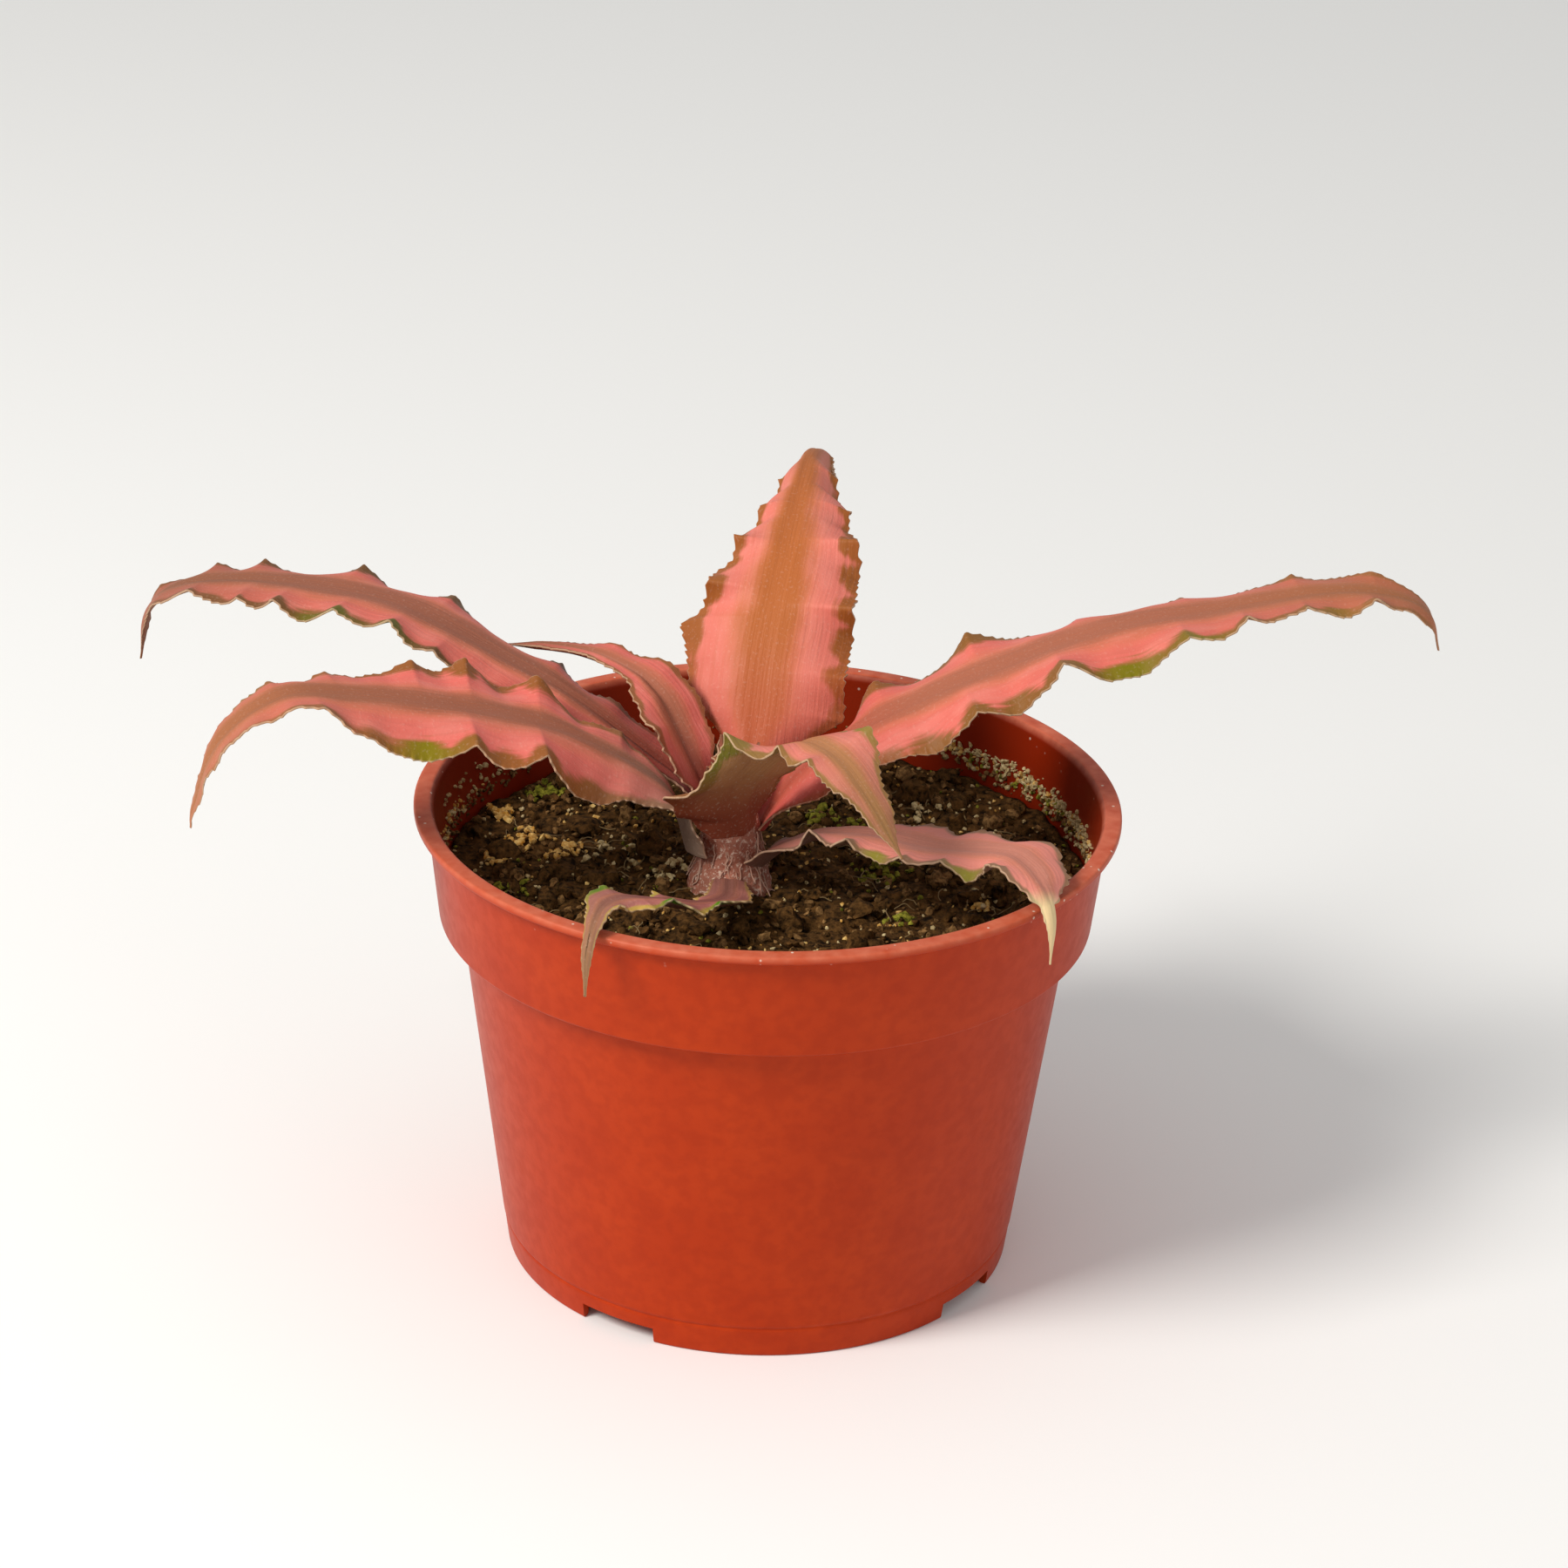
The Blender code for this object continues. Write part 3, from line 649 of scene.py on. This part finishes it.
# The outer part of a long leaf narrows like this.
TAIL = [(62, 10), (82, 6.5), (93, 3), (100, 0.3)]
LEAVES = {}
LEAVES["upper_left"] = dict(
    heading=163,
    midrib=[(4.6, 0, 72), (8.5, 0, 76.5), (14, 0, 80), (25, 0, 87), (36, 0, 92), (52, 0, 98), (69, 0, 99),
        (85, 0, 97), (93, 0, 92), (95, 0, 83)],
    left_width=[(0, 2.5), (12, 2), (25, 4.5), (36, 8), (44, 10.5), *TAIL],
    right_width=[(0, 3), (12, 5.5), (40, 11), *TAIL],
    left_edge=[(0, 1), (12, 0), (25, -1.5), (35, -1.5), (39, -0.5), (43, 1), (46, 0), (50, 2.2), (54, 0),
        (58, 1.3), (62, -1.3), (67, 1), (70, -1), (73, 0.6), (77, -1.2), (81, 1), (93, -1), (100, 0)],
    right_edge=[(0, 1.5), (18, 0), (25, -2.5), (29, -1.5), (37, -5), (47, -1), (54, -4), (61, 0), (68, -3.2),
        (75, 0.5), (78, -1.3), (82, 0.3), (85, -1), (90, 1.2), (100, 0)],
    green=[(1, 50, 3), (1, 58, 3), (1, 62, 2)],
)
LEAVES["lower_left"] = dict(
    heading=197,
    midrib=[(6.6, 0, 67.5), (9, 0, 75), (14, 0, 81), (27, 0, 89), (42, 0, 94), (56, 0, 97), (67, 0, 98),
        (76, 0, 92), (80, 0, 82), (80.5, 0, 79)],
    left_width=[(0, 4.6), (6, 5.4), (12, 6.5), (40, 11), *TAIL],
    right_width=[(0, 2.5), (12, 1.8), (20, 5.5), (40, 11), *TAIL],
    left_edge=[(0, 1.5), (10, 0), (16, -3), (26, -6), (36, -0.8), (42, -4), (47, -1), (54, -5), (70, 1.5),
        (76, 0.8), (82, 1.2), (100, 0)],
    right_edge=[(0, 1), (12, 0.8), (20, 2), (26, 0.6), (34, 3.4), (39, 0), (45, 3.6), (50, 0.6), (53, 2),
        (62, -1.5), (66, -0.5), (70, -2.8), (75, -0.8), (80, -1.2), (100, 0)],
    green=[(1, 54, 5), (-1, 80, 3)],
)
LEAVES["upright"] = dict(
    heading=83,
    midrib=[(3.6, 0, 73), (8.5, -1.5, 82), (16, -2, 92.5), (25.5, -2.7, 100.5), (35, -3, 105), (50, -3, 108),
        (62, -3, 107), (74, -3.5, 101), (83, -4, 92)],
    left_width=[(0, 2.5), (8, 4.5), (17, 11), (28, 14), (31, 10.5), (36, 10), (40, 7.6), (46, 7.6),
        (49, 5.4), (55, 5.4), (58, 3.6), (64, 3.4), (68, 2.2), (90, 1.4), (100, 0.3)],
    right_width=[(0, 2.5), (5, 4), (14, 12.5), (28, 12), (40, 11.2), (47, 9.6), (50, 8.2), (56, 7.8),
        (59, 5.6), (64, 4.8), (69, 3), (90, 1.6), (100, 0.3)],
    left_edge=[(0, 1), (8, -2.5), (18, -4), (27, -6), (33, 0.5), (38, -3), (42, 1), (47, -3.5), (52, -1),
        (57, -4.5), (62, -2), (70, -4), (77, -1), (84, -3), (100, 0)],
    lobe_peak=1.6,
    right_edge=[(0, 1), (6, -2.5), (14, -3.2), (20, -0.5), (28, -4.5), (31, 1), (39, -4), (43, 1),
        (49, -3.5), (53, -1.5), (58, -5), (64, -2), (70, -4), (78, -1), (86, -2), (100, 0)],
)
LEAVES["long_right"] = dict(
    heading=10,
    midrib=[(4.4, 0, 70.5), (9.5, 0, 79), (18, 0, 85), (28, 0, 90), (41, 0, 95), (56, 0, 100), (72, 0, 102),
        (88, 0, 104), (98, 0, 103), (104, 0, 100), (106, 0, 94)],
    left_width=[(0, 2.5), (10, 2.4), (15, 3.5), (22, 8.5), (40, 11), *TAIL],
    right_width=[(0, 3.5), (12, 7.5), (40, 11), *TAIL],
    left_edge=[(0, 1), (10, 0), (15, -1), (22, 1.2), (29, -2), (35, 2), (45, -3.4), (49, -2.6), (54, -4),
        (63, -1.8), (67, -2.7), (77, 0.4), (80, -1), (87, 1.4), (100, 0.2)],
    right_edge=[(0, 1.5), (10, -2.5), (20, -3), (25, -4.5), (32, -0.3), (37, -2.7), (44, 2.4), (52, -4),
        (60, 1), (64, -0.2), (68, 2.4), (72, 0.4), (76, 1.6), (80, -1.2), (85, 1), (94, -1.2), (100, 0)],
    green=[(-1, 52, 5), (-1, 62, 3), (-1, 80, 3)],
)
LEAVES["inner"] = dict(
    heading=145,
    midrib=[(3.6, 1.2, 73.6), (7.5, 0.8, 80), (14, 0, 88), (23, 0, 91), (33, 0, 90.5), (44, 0, 88)],
    left_width=[(0, 2.5), (15, 5.5), (28, 8), (38, 5), (46, 2.8), (70, 1.5), (100, 0.2)],
    right_width=[(0, 2), (10, 3), (20, 5), (30, 6.5), (40, 6), (55, 4), (75, 1.8), (100, 0.2)],
    left_edge=[(0, 1), (12, 1), (26, 3), (38, 0), (50, 0.4), (100, 0)],
    right_edge=[(0, 1), (20, 1), (30, 0), (42, 0.8), (50, 0), (60, 0.6), (70, 0), (100, 0)],
    fold=2.6,
)
LEAVES["front"] = dict(
    heading=-58,
    midrib=[(5.2, -2, 72), (6.5, -2.5, 77), (8.5, -2, 82), (13, -0.5, 87.5), (19, 0, 91.5), (25, 0, 92.5),
        (31, 0, 91.5), (37, 0, 88.5), (45, 0, 84)],
    left_width=[(0, 3), (15, 5), (30, 7), (45, 8), (60, 6.5), (80, 3), (100, 0.2)],
    right_width=[(0, 4.5), (5, 6.5), (10, 10.5), (16, 14), (23, 11.5), (38, 9.5), (50, 5.5), (70, 4),
        (85, 2), (100, 0.2)],
    left_edge=[(0, 1), (20, 0), (45, 0), (60, 2.5), (70, 0), (100, 0)],
    right_edge=[(0, 1), (6, 2.5), (12, 2), (20, -1.5), (28, 0), (38, 4.5), (45, -1), (50, 0.5), (56, -1.5),
        (62, 0.5), (68, -1), (78, 0), (100, 0)],
    green=[(-1, 32, 8), (1, 55, 6)],
)
LEAVES["low_right"] = dict(
    heading=-33,
    midrib=[(5.5, -1, 66.5), (9, -0.5, 70), (14, 1.5, 72.5), (22.5, 2.3, 74.5), (34, 2.4, 75.5),
        (43.4, 4, 77), (48, 3, 77), (52.5, 0, 76), (56, -2.5, 72), (56.5, -3.5, 66)],
    left_width=[(0, 3.5), (15, 6), (36, 6.4), (43, 8.6), (50, 6.8), (57, 8.4), (63, 6.6), (69, 7.8),
        (76, 5.4), (83, 3.4), (86, 1.6), (100, 0.2)],
    right_width=[(0, 3.5), (12, 6), (20, 5.5), (28, 8), (36, 6), (45, 8), (52, 6.6), (60, 8), (70, 6.4),
        (78, 5.6), (84, 3), (87, 1.4), (100, 0.2)],
    left_edge=[(0, 1), (20, -2), (40, 0), (48, -1), (55, 0.4), (64, -1.2), (70, -0.8), (80, -1.2), (100, 0)],
    right_edge=[(0, 1), (13, 0), (20, 2.5), (25, 0.8), (31, 2), (38, -1.2), (46, 1.4), (50, 0), (54, 1.2),
        (60, -1.4), (75, 1.5), (85, -0.5), (100, 0)],
    green=[(-1, 38, 4), (-1, 60, 5)],
    dry_from=82,
    lobe_peak=1.8,
)
LEAVES["old_front"] = dict(
    heading=-112,
    midrib=[(6, 2, 64.5), (14, 5, 66), (19.7, 4.7, 67.5), (24.5, 3.4, 69.3), (29, 2, 71.3), (33, 0.4, 73),
        (36.5, -1.4, 74.3), (40.4, -2.4, 74.8), (45.4, -1.8, 74.5), (49.2, -1.2, 71.5), (49.6, -1.3, 65)],
    left_width=[(0, 2.5), (20, 4), (32, 3), (42, 5), (50, 3), (58, 4.6), (66, 2.8), (71, 3), (77, 1.5),
        (84, 0.9), (100, 0.2)],
    right_width=[(0, 2.5), (20, 4), (30, 3), (40, 5), (47, 3), (55, 4.8), (62, 2.8), (69, 3.2), (76, 1.6),
        (84, 0.9), (100, 0.2)],
    left_edge=[(0, 0), (30, 1), (40, -1), (50, 1), (62, -1), (72, 1), (85, 0), (100, 0)],
    right_edge=[(0, 0), (30, -1), (42, 1), (52, -1), (64, 1.5), (74, 0), (100, 0)],
    lobe_peak=1.8,
    green=[(1, 50, 6), (-1, 50, 5), (-1, 66, 5), (1, 30, 5)],
)
print("leaves:", ", ".join(LEAVES))

# %% young leaves in the heart of the rosette
# They grow from the stem's top, which they hide. Each has its heading, its reach and its height in mm.
HEART_WIDTH = [(0, 1.6), (30, 2.6), (60, 2.2), (85, 1), (100, 0.2)]
for index, (heading, reach, top) in enumerate(((113, 5.5, 83), (47, 5, 82.5), (228, 6, 82), (188, 3.5, 81))):
    LEAVES[f"heart_{index}"] = dict(
        heading=heading,
        midrib=[
            (1, 0, 73.2), (1.5, 0, 76.5), (reach * 0.42, 0, 80), (reach * 0.7, 0, top - 3), (reach, 0, top)
        ],
        left_width=HEART_WIDTH,
        right_width=HEART_WIDTH,
        left_edge=[(0, 1), (40, 1.2), (60, 0.4), (75, 1), (100, 0)],
        right_edge=[(0, 1), (35, 1.2), (55, 0.3), (70, 1), (100, 0)],
        node="stem",
    )
print("leaves with the heart:", len(LEAVES))

# %% [markdown]
# ## Leaves: the formula
# A flat grid is laid along each midrib. Its long side runs from the root to the tip in steps of a fifth of a
# millimetre, fine enough for the spines, and its short side crosses the blade, closer towards the edges.
# Numpy moves all the points at once: across by the width, up or down by the wave, which grows towards the
# edge, and outwards at the edge by the spines, which lean to the tip. A real edge has round troughs and
# pointed crests, so the values level off at a trough but not at a crest.

# %% curves and values along a leaf
def smooth_line(points, count):
    """count + 1 evenly spaced points on a smooth curve through the given ones, and its length."""
    given = np.array(points, float)
    ends = np.vstack([2 * given[0] - given[1], given, 2 * given[-1] - given[-2]])
    fine = []
    for a, b, c, d in zip(ends, ends[1:], ends[2:], ends[3:]):
        for t in np.linspace(0, 1, 24, endpoint=False):
            bend = (2 * a - 5 * b + 4 * c - d) * t * t + (3 * b - a - 3 * c + d) * t**3
            fine.append(0.5 * (2 * b + (c - a) * t + bend))
    fine = np.array(fine + [given[-1]])
    run = np.concatenate([[0], np.cumsum(np.linalg.norm(np.diff(fine, axis=0), axis=1))])
    even = np.linspace(0, run[-1], count + 1)
    return np.stack([np.interp(even, run, fine[:, k]) for k in range(3)], axis=1), run[-1]


def between(pairs, along, peak=None):
    """Values along a leaf, easing from each (percent, value) to the next. A peak over 1 points the crests."""
    places, values = np.array(pairs, float).T
    places /= 100
    index = np.clip(np.searchsorted(places, along) - 1, 0, len(places) - 2)
    step = np.clip((along - places[index]) / (places[index + 1] - places[index]), 0, 1)
    ease = 0.5 - 0.5 * np.cos(np.pi * step)
    if peak:
        crest = np.zeros(len(values), bool)
        crest[1:-1] = (values[1:-1] > values[:-2]) & (values[1:-1] > values[2:])
        ease = np.where(crest[index + 1], step**peak, ease)
        ease = np.where(crest[index], 1 - (1 - step) ** peak, ease)
    return values[index] + (values[index + 1] - values[index]) * ease


def unit(rows):
    return rows / np.linalg.norm(rows, axis=1)[:, None]


def blade_frame(leaf, count):
    """The midrib's points with the directions along it, to the left and up from the blade at each."""
    turn = math.radians(leaf["heading"])
    out = np.array((math.cos(turn), math.sin(turn), 0))
    left = np.array((-math.sin(turn), math.cos(turn), 0))
    line, _ = smooth_line(leaf["midrib"], count)
    centre = np.array((*PLANT, 0)) + line[:, :1] * out + line[:, 1:2] * left + line[:, 2:] * (0, 0, 1)
    run = unit(np.gradient(centre, axis=0))
    across = unit(left - (run @ left)[:, None] * run)
    return centre, run, across, unit(np.cross(run, across))


LENGTHS = {word: smooth_line(leaf["midrib"], 8)[1] for word, leaf in LEAVES.items()}
print("leaf lengths, mm:", {word: round(length) for word, length in LENGTHS.items()})

# %% edges: waves, ruffles and spines
# The spacing of the points along the leaf in mm, and the strips across it.
STATION, STRIPS = 0.2, 24
SPINE, SPINE_PITCH, SPINE_LEAN = 0.55, 1.5, 0.3
RUFFLE, CHANNEL, CREST_PEAK, EDGE_CURL = 0.3, 0.45, 1.7, 2.2
# A wave counts in full where it stands 1.6 mm from the edge's running mean over 16 mm.
WAVE_SPAN, FULL_WAVE = 16, 1.6


def spines(along_mm, chance):
    """How far the comb of spines stands out at each station: it rises slowly and drops at its tip."""
    size = np.zeros(len(along_mm))
    place = 2.0
    while place < along_mm[-1] - 1:
        pitch = SPINE_PITCH * chance.uniform(0.7, 1.35)
        phase = (along_mm - place) / pitch
        here = (phase >= 0) & (phase < 1)
        rise = np.where(phase < 0.7, (phase / 0.7) ** 1.6, np.clip(1 - (phase - 0.7) / 0.3, 0, 1))
        size[here] = rise[here] * SPINE * chance.uniform(0.45, 1.1)
        place += pitch
    return size


def ruffle(along_mm, chance):
    """Small waves between the large ones, as numbers from about -1 to 1."""
    waves = [(chance.uniform(4, 12), chance.uniform(0, ROUND)) for _ in range(4)]
    return sum(np.sin(ROUND * along_mm / length + phase) for length, phase in waves) / 2.5


def edge_values(leaf, word, along, length, chance):
    """For one side at each station: half width, lift, spines, ruffle, and how far the edge waves out."""
    width = between(leaf[word + "_width"], along, leaf.get("lobe_peak"))
    lift = between(leaf[word + "_edge"], along, CREST_PEAK)
    fine = ruffle(along * length, chance) * np.minimum(1, width / 5)
    window = round(WAVE_SPAN / STATION)
    padded = np.pad(lift, window // 2, mode="edge")
    mean = np.convolve(padded, np.ones(window) / window, "same")[window // 2 :][: len(lift)]
    wave = np.clip(np.abs(lift - mean) / FULL_WAVE, 0, 1)
    return width, lift, spines(along * length, chance) * np.minimum(1, width / 3), fine, wave


print("stations on the longest leaf:", round(max(LENGTHS.values()) / STATION))

# %% lay a grid along a midrib
UV_MM = 100.0


def leaf_grid(word, leaf, seed):
    """A bmesh of the blade without thickness, and each point's values for the UV map and the zones."""
    chance = random.Random(seed)
    length = LENGTHS[word]
    stations = round(length / STATION)
    centre, run, across, normal = blade_frame(leaf, stations)
    along = np.linspace(0, 1, stations + 1)
    left, right = (edge_values(leaf, side, along, length, chance) for side in ("left", "right"))
    bm = bmesh.new()
    bmesh.ops.create_grid(bm, x_segments=stations, y_segments=STRIPS, size=1)
    flat = np.array([vert.co for vert in bm.verts])
    station = np.rint((flat[:, 0] + 1) / 2 * stations).astype(int)
    side = np.where(flat[:, 1] > 0, 1, -1)
    share = np.sin(np.abs(flat[:, 1]) * math.pi / 2)
    width, lift, spine, fine, wave = (
        np.where(side > 0, on_left[station], on_right[station]) for on_left, on_right in zip(left, right)
    )
    spine = spine * np.clip((share - 0.95) / 0.05, 0, 1)
    channel = -CHANNEL * leaf.get("fold", 1) * np.exp(-((share / 0.16) ** 2)) * np.minimum(1, width / 6)
    rise = lift * share**EDGE_CURL + RUFFLE * fine * share**2 + channel
    reach = side * (width * share + spine)
    place = (
        centre[station]
        + reach[:, None] * across[station]
        + rise[:, None] * normal[station]
        + (SPINE_LEAN * spine)[:, None] * run[station]
    )
    for vert, point in zip(bm.verts, place):
        vert.co = point
    green = np.zeros(len(side))
    for which, where, spread in leaf.get("green", ()):
        away = (along[station] - where / 100) / (spread / 100)
        green += np.exp(-(away**2)) * (side == which)
    zones = np.stack([share, along[station], wave, np.clip(green, 0, 1)], axis=1)
    uv = np.stack([along[station] * length / UV_MM, 0.5 + reach / UV_MM], axis=1)
    return bm, uv, zones


print("points across a blade:", STRIPS + 1)

# %% [markdown]
# ## Leaves: the material
# A leaf's skin is a smooth, slightly waxy cuticle over flesh, so it is satin rather than shiny. This one is
# coral pink with a taupe band along the midrib, olive to green margins where it waves out furthest, and a
# thin dry edge with pale spines. Fine veins run its whole length. The zones come from the blade's own
# attribute (red: share of the way to the edge, green: share of the length, blue: size of the wave, alpha:
# green places), and the veins from its UV map.

# %% the leaves' colours
# Colours: the blade, its band, the margin, the green places, the tip, the underside and the root.
# The root's dark red is partly the leaf's own colour and partly painted shade where the leaves crowd the
# stem.
TONES = {
    "upper_left": ("#D1685A", "#905640", "#5E4410", "#626008", "#86563A", "#96664A", "#94403A"),
    "lower_left": ("#DC6C60", "#96583E", "#86521A", "#7C7200", "#A0663E", "#8A7060", "#9A8270"),
    "upright": ("#DC7868", "#B0622C", "#94561A", "#7C7000", "#8A5420", "#A06444", "#B8523C"),
    "long_right": ("#DA6C5E", "#A66248", "#7C561C", "#767000", "#A0663E", "#A84A3E", "#A83C34"),
    "inner": ("#D86C60", "#A06048", "#8C5A30", "#7C7000", "#70482E", "#A86250", "#983C34"),
    "front": ("#D4786A", "#B0784C", "#8E6A34", "#84802C", "#86643A", "#BC8A5A", "#8C3626"),
    "low_right": ("#E08878", "#C07C6A", "#8A6A4C", "#8A8228", "#E6D09A", "#96786A", "#8C6658"),
    "old_front": ("#A86660", "#8E5650", "#C4A248", "#357A08", "#8A6A44", "#8E6458", "#7E5648"),
}
EDGE_COLOUR = "#CBAA8C"
print("tones:", len(TONES))

# %% patterns and zones on a blade
# Length and width in mm of the veins, the cloudy tints and the scurf, and how much detail each has.
PATTERNS = ((18, 0.6, 3), (9, 3.5, 3), (0.5, 0.5, 2))


def blade_patterns(tree):
    """The veins, the cloudy tints and the scurf, drawn on the blade's UV map."""
    uv = add_node(tree, "UVMap", uv_map="blade")["UV"]
    patterns = []
    for length, width, detail in PATTERNS:
        size = (UV_MM / length, UV_MM / width, 1)
        scaled = add_node(tree, "Mapping", {"Vector": uv, "Scale": size})[0]
        settings = {"Vector": scaled, "Scale": 1, "Detail": detail}
        patterns.append(add_node(tree, "TexNoise", settings, noise_dimensions="2D")["Fac"])
    return patterns


def blade_masks(tree, veins, clouds, scurf, dry_from, underside):
    """A mask for each colour zone. The tip's colour sets in from a share of the length."""
    zones = add_node(tree, "Attribute", attribute_name="zones")
    parts = add_node(tree, "SeparateColor", {"Color": zones["Color"]})
    share, along, wave, verdant = parts["Red"], parts["Green"], parts["Blue"], zones["Alpha"]
    # The clouds and the veins make the share of the way to the edge uneven, so that no zone ends in a line.
    uneven = share
    for pattern, weight in ((clouds, 0.22), (veins, 0.16)):
        values = {0: pattern, 1: weight, 2: uneven}
        uneven = add_node(tree, "Math", values, operation="MULTIPLY_ADD")[0]
    # The margin is a narrow strip, and widens where the edge waves out.
    margin = add_node(tree, "MapRange", {"Value": wave, "To Min": 1.03, "To Max": 0.88})[0]
    margin_end = add_node(tree, "Math", {0: margin, 1: 0.15}, operation="ADD")[0]
    dry_to = 1.0 if dry_from < 0.7 else dry_from + 0.05
    masks = {}
    for word, value, start, end, most in (
        ("fringe", uneven, 0.82, 0.5, 0.5),
        ("band", uneven, 0.68, 0.38, 0.92),
        ("vein", veins, 0.5, 0.75, 0.14),
        ("cloud", clouds, 0.42, 0.75, 0.4),
        ("tip", along, dry_from, dry_to, 0.85),
        # The root mask is partly the leaf's own red base and partly painted shade round the stem, stronger on
        # the underside.
        ("root", along, 0.3, 0.06, 0.85 if underside else 0.6),
        ("scurf", scurf, 0.58, 0.76, 0.4 if underside else 0.1),
        ("edge", share, 0.992, 1.0, 0.6),
        ("margin", uneven, margin, margin_end, 0.92),
    ):
        settings = {"Value": value, "From Min": start, "From Max": end, "To Max": most}
        masks[word] = add_node(tree, "MapRange", settings, interpolation_type="SMOOTHSTEP")[0]
    values = {0: masks["margin"], 1: verdant}
    masks["green"] = add_node(tree, "Math", values, operation="MULTIPLY")[0]
    return masks


print("patterns, mm:", [size[:2] for size in PATTERNS])

# %% leaf skin
def leaf_skin(name, tones, dry_from, underside=False):
    """The top skin, or the duller scurfy one of the underside."""
    blade, band, margin, green, tip, under, root = tones
    material, tree, shader = new_material(name, Metallic=0.0, IOR=1.4, Specular_IOR_Level=0.3)
    veins, clouds, scurf = blade_patterns(tree)
    masks = blade_masks(tree, veins, clouds, scurf, dry_from, underside)
    if underside:
        layers, scales, dull = [("cloud", "#8E5A3E"), ("vein", "#B48C72")], "#C4AC98", (0.65, 0.8)
    else:
        layers = [("cloud", "#E68C7C"), ("fringe", "#CC7A50"), ("vein", band), ("band", band)]
        scales, dull = "#EBC4B4", (0.45, 0.6)
    # The root colour is partly the leaf's own red base and partly painted shade deep in the rosette.
    layers += ("margin", margin), ("green", green), ("root", root), ("tip", tip), ("scurf", scales)
    layers.append(("edge", EDGE_COLOUR))
    relief = add_node(tree, "Math", {0: scurf, 1: 0.35, 2: veins}, operation="MULTIPLY_ADD")[0]
    covers = [(masks[word], code) for word, code in layers]
    paint(tree, shader, under if underside else blade, covers, relief, 0.12)
    gloss = add_node(tree, "MapRange", {"Value": scurf, "To Min": dull[0], "To Max": dull[1]})[0]
    tree.links.new(gloss, shader.inputs["Roughness"])
    return material


print("skins:", 2 * len(LEAVES))

# %% [markdown]
# ## Leaves: the pieces
# Each grid becomes a piece. Its UV map and its zones are stored before Solidify runs, which copies them to
# the underside and gives it the second material. Solidify makes the blade a millimetre thick along the midrib
# and a third of that at the edge.

# %% build the leaves
# The blade's thickness in mm, and the share of it that is left at the edge and at the tip.
BLADE, EDGE_SHARE = 1.0, 0.3
TIP_TAPER, TIP_SHARE = 0.14, 0.3
# Where a tip starts to dry, in percent of the length.
DRY_FROM = 50
FIRST_SEED = 20


def build_leaf(word, leaf, seed):
    name = "leaf_" + word
    tones = TONES.get(word, TONES["inner"])
    dry_from = leaf.get("dry_from", DRY_FROM) / 100
    bm, uv, zones = leaf_grid(word, leaf, seed)
    skins = [
        leaf_skin(name + "_top_skin", tones, dry_from),
        leaf_skin(name + "_scurfy_underside", tones, dry_from, underside=True),
    ]
    piece = add_piece(name + "_blade", bm, skins, leaf.get("node", name))
    mesh = piece.data
    corner = np.array([loop.vertex_index for loop in mesh.loops])
    mesh.uv_layers.new(name="blade").data.foreach_set("uv", uv[corner].ravel())
    mesh.attributes.new("zones", "FLOAT_COLOR", "POINT").data.foreach_set("color", zones.ravel())
    thick = piece.vertex_groups.new(name="thickness")
    taper = np.clip((1 - zones[:, 1]) / TIP_TAPER, TIP_SHARE, 1)
    for index, weight in enumerate(taper * (1 - (1 - EDGE_SHARE) * zones[:, 0] ** 1.5)):
        thick.add([index], weight, "REPLACE")
    shell = piece.modifiers.new("blade", "SOLIDIFY")
    shell.thickness, shell.offset, shell.vertex_group = BLADE * MM, 0, thick.name
    shell.material_offset = 1
    apply_modifiers(piece)
    return piece


for seed, (word, leaf) in enumerate(LEAVES.items(), FIRST_SEED):
    piece = build_leaf(word, leaf, seed)
    print(piece.name, len(piece.data.polygons), "faces")

# %% [markdown]
# ## Studio
# The photograph is a catalogue picture: white ground, a broad soft light from the upper left and plenty of
# fill, so shadows are pale. A large pale floor, a white sky and two area lights give the same. The camera
# looks down with a long lens, which keeps the pot's rim a flat ellipse, and is rolled slightly.

# %% floor and light
bm = bmesh.new()
bmesh.ops.create_grid(bm, x_segments=1, y_segments=1, size=3)
floor = in_scene("floor", to_mesh(bm, "floor"))
floor_paint, _, _ = new_material("matt_white_floor", Base_Color=linear("#F7F7F5"), Roughness=0.9)
floor.data.materials.append(floor_paint)

world = bpy.data.worlds.new("white sky")
bpy.context.scene.world = world
world.use_nodes = True
sky = world.node_tree.nodes["Background"].inputs
sky["Color"].default_value, sky["Strength"].default_value = (1, 1, 1, 1), 0.5
# Both lamps face the middle of the pot. Places and sizes are in metres, and power is in watts.
aim = Vector((0, 0, 0.07))
for name, place, size, power, tint in (
    ("key", (-0.8, -0.55, 0.95), 0.45, 15.0, (1, 0.97, 0.93)),
    ("fill", (0.9, -0.8, 0.5), 0.9, 1.5, (0.97, 0.98, 1)),
):
    lamp = bpy.data.lights.new(name, "AREA")
    lamp.size, lamp.energy, lamp.color = size, power, tint
    light = in_scene(name, lamp)
    light.location = place
    light.rotation_euler = (aim - Vector(place)).to_track_quat("-Z", "Y").to_euler()
    print(name, "light:", power, "W")

# %% camera
# The lens in mm, the turns in degrees, and the place in metres from the pot's foot.
LENS, LOOK_DOWN, ROLL, SWING = 105.8, 24.55, 1.63, -0.21
BACK, UP = -0.6212, 0.3590
camera = in_scene("camera", bpy.data.cameras.new("camera"))
camera.data.lens, camera.data.sensor_width = LENS, 36
camera.matrix_world = (
    Matrix.Translation(AXIS + Vector((0, BACK, UP)))
    @ Matrix.Rotation(math.radians(SWING), 4, "Z")
    @ Matrix.Rotation(math.radians(90 - LOOK_DOWN), 4, "X")
    @ Matrix.Rotation(math.radians(ROLL), 4, "Z")
)
bpy.context.scene.camera = camera
bpy.context.scene.view_settings.view_transform = "Standard"
print("camera at", [round(c, 3) for c in camera.location])
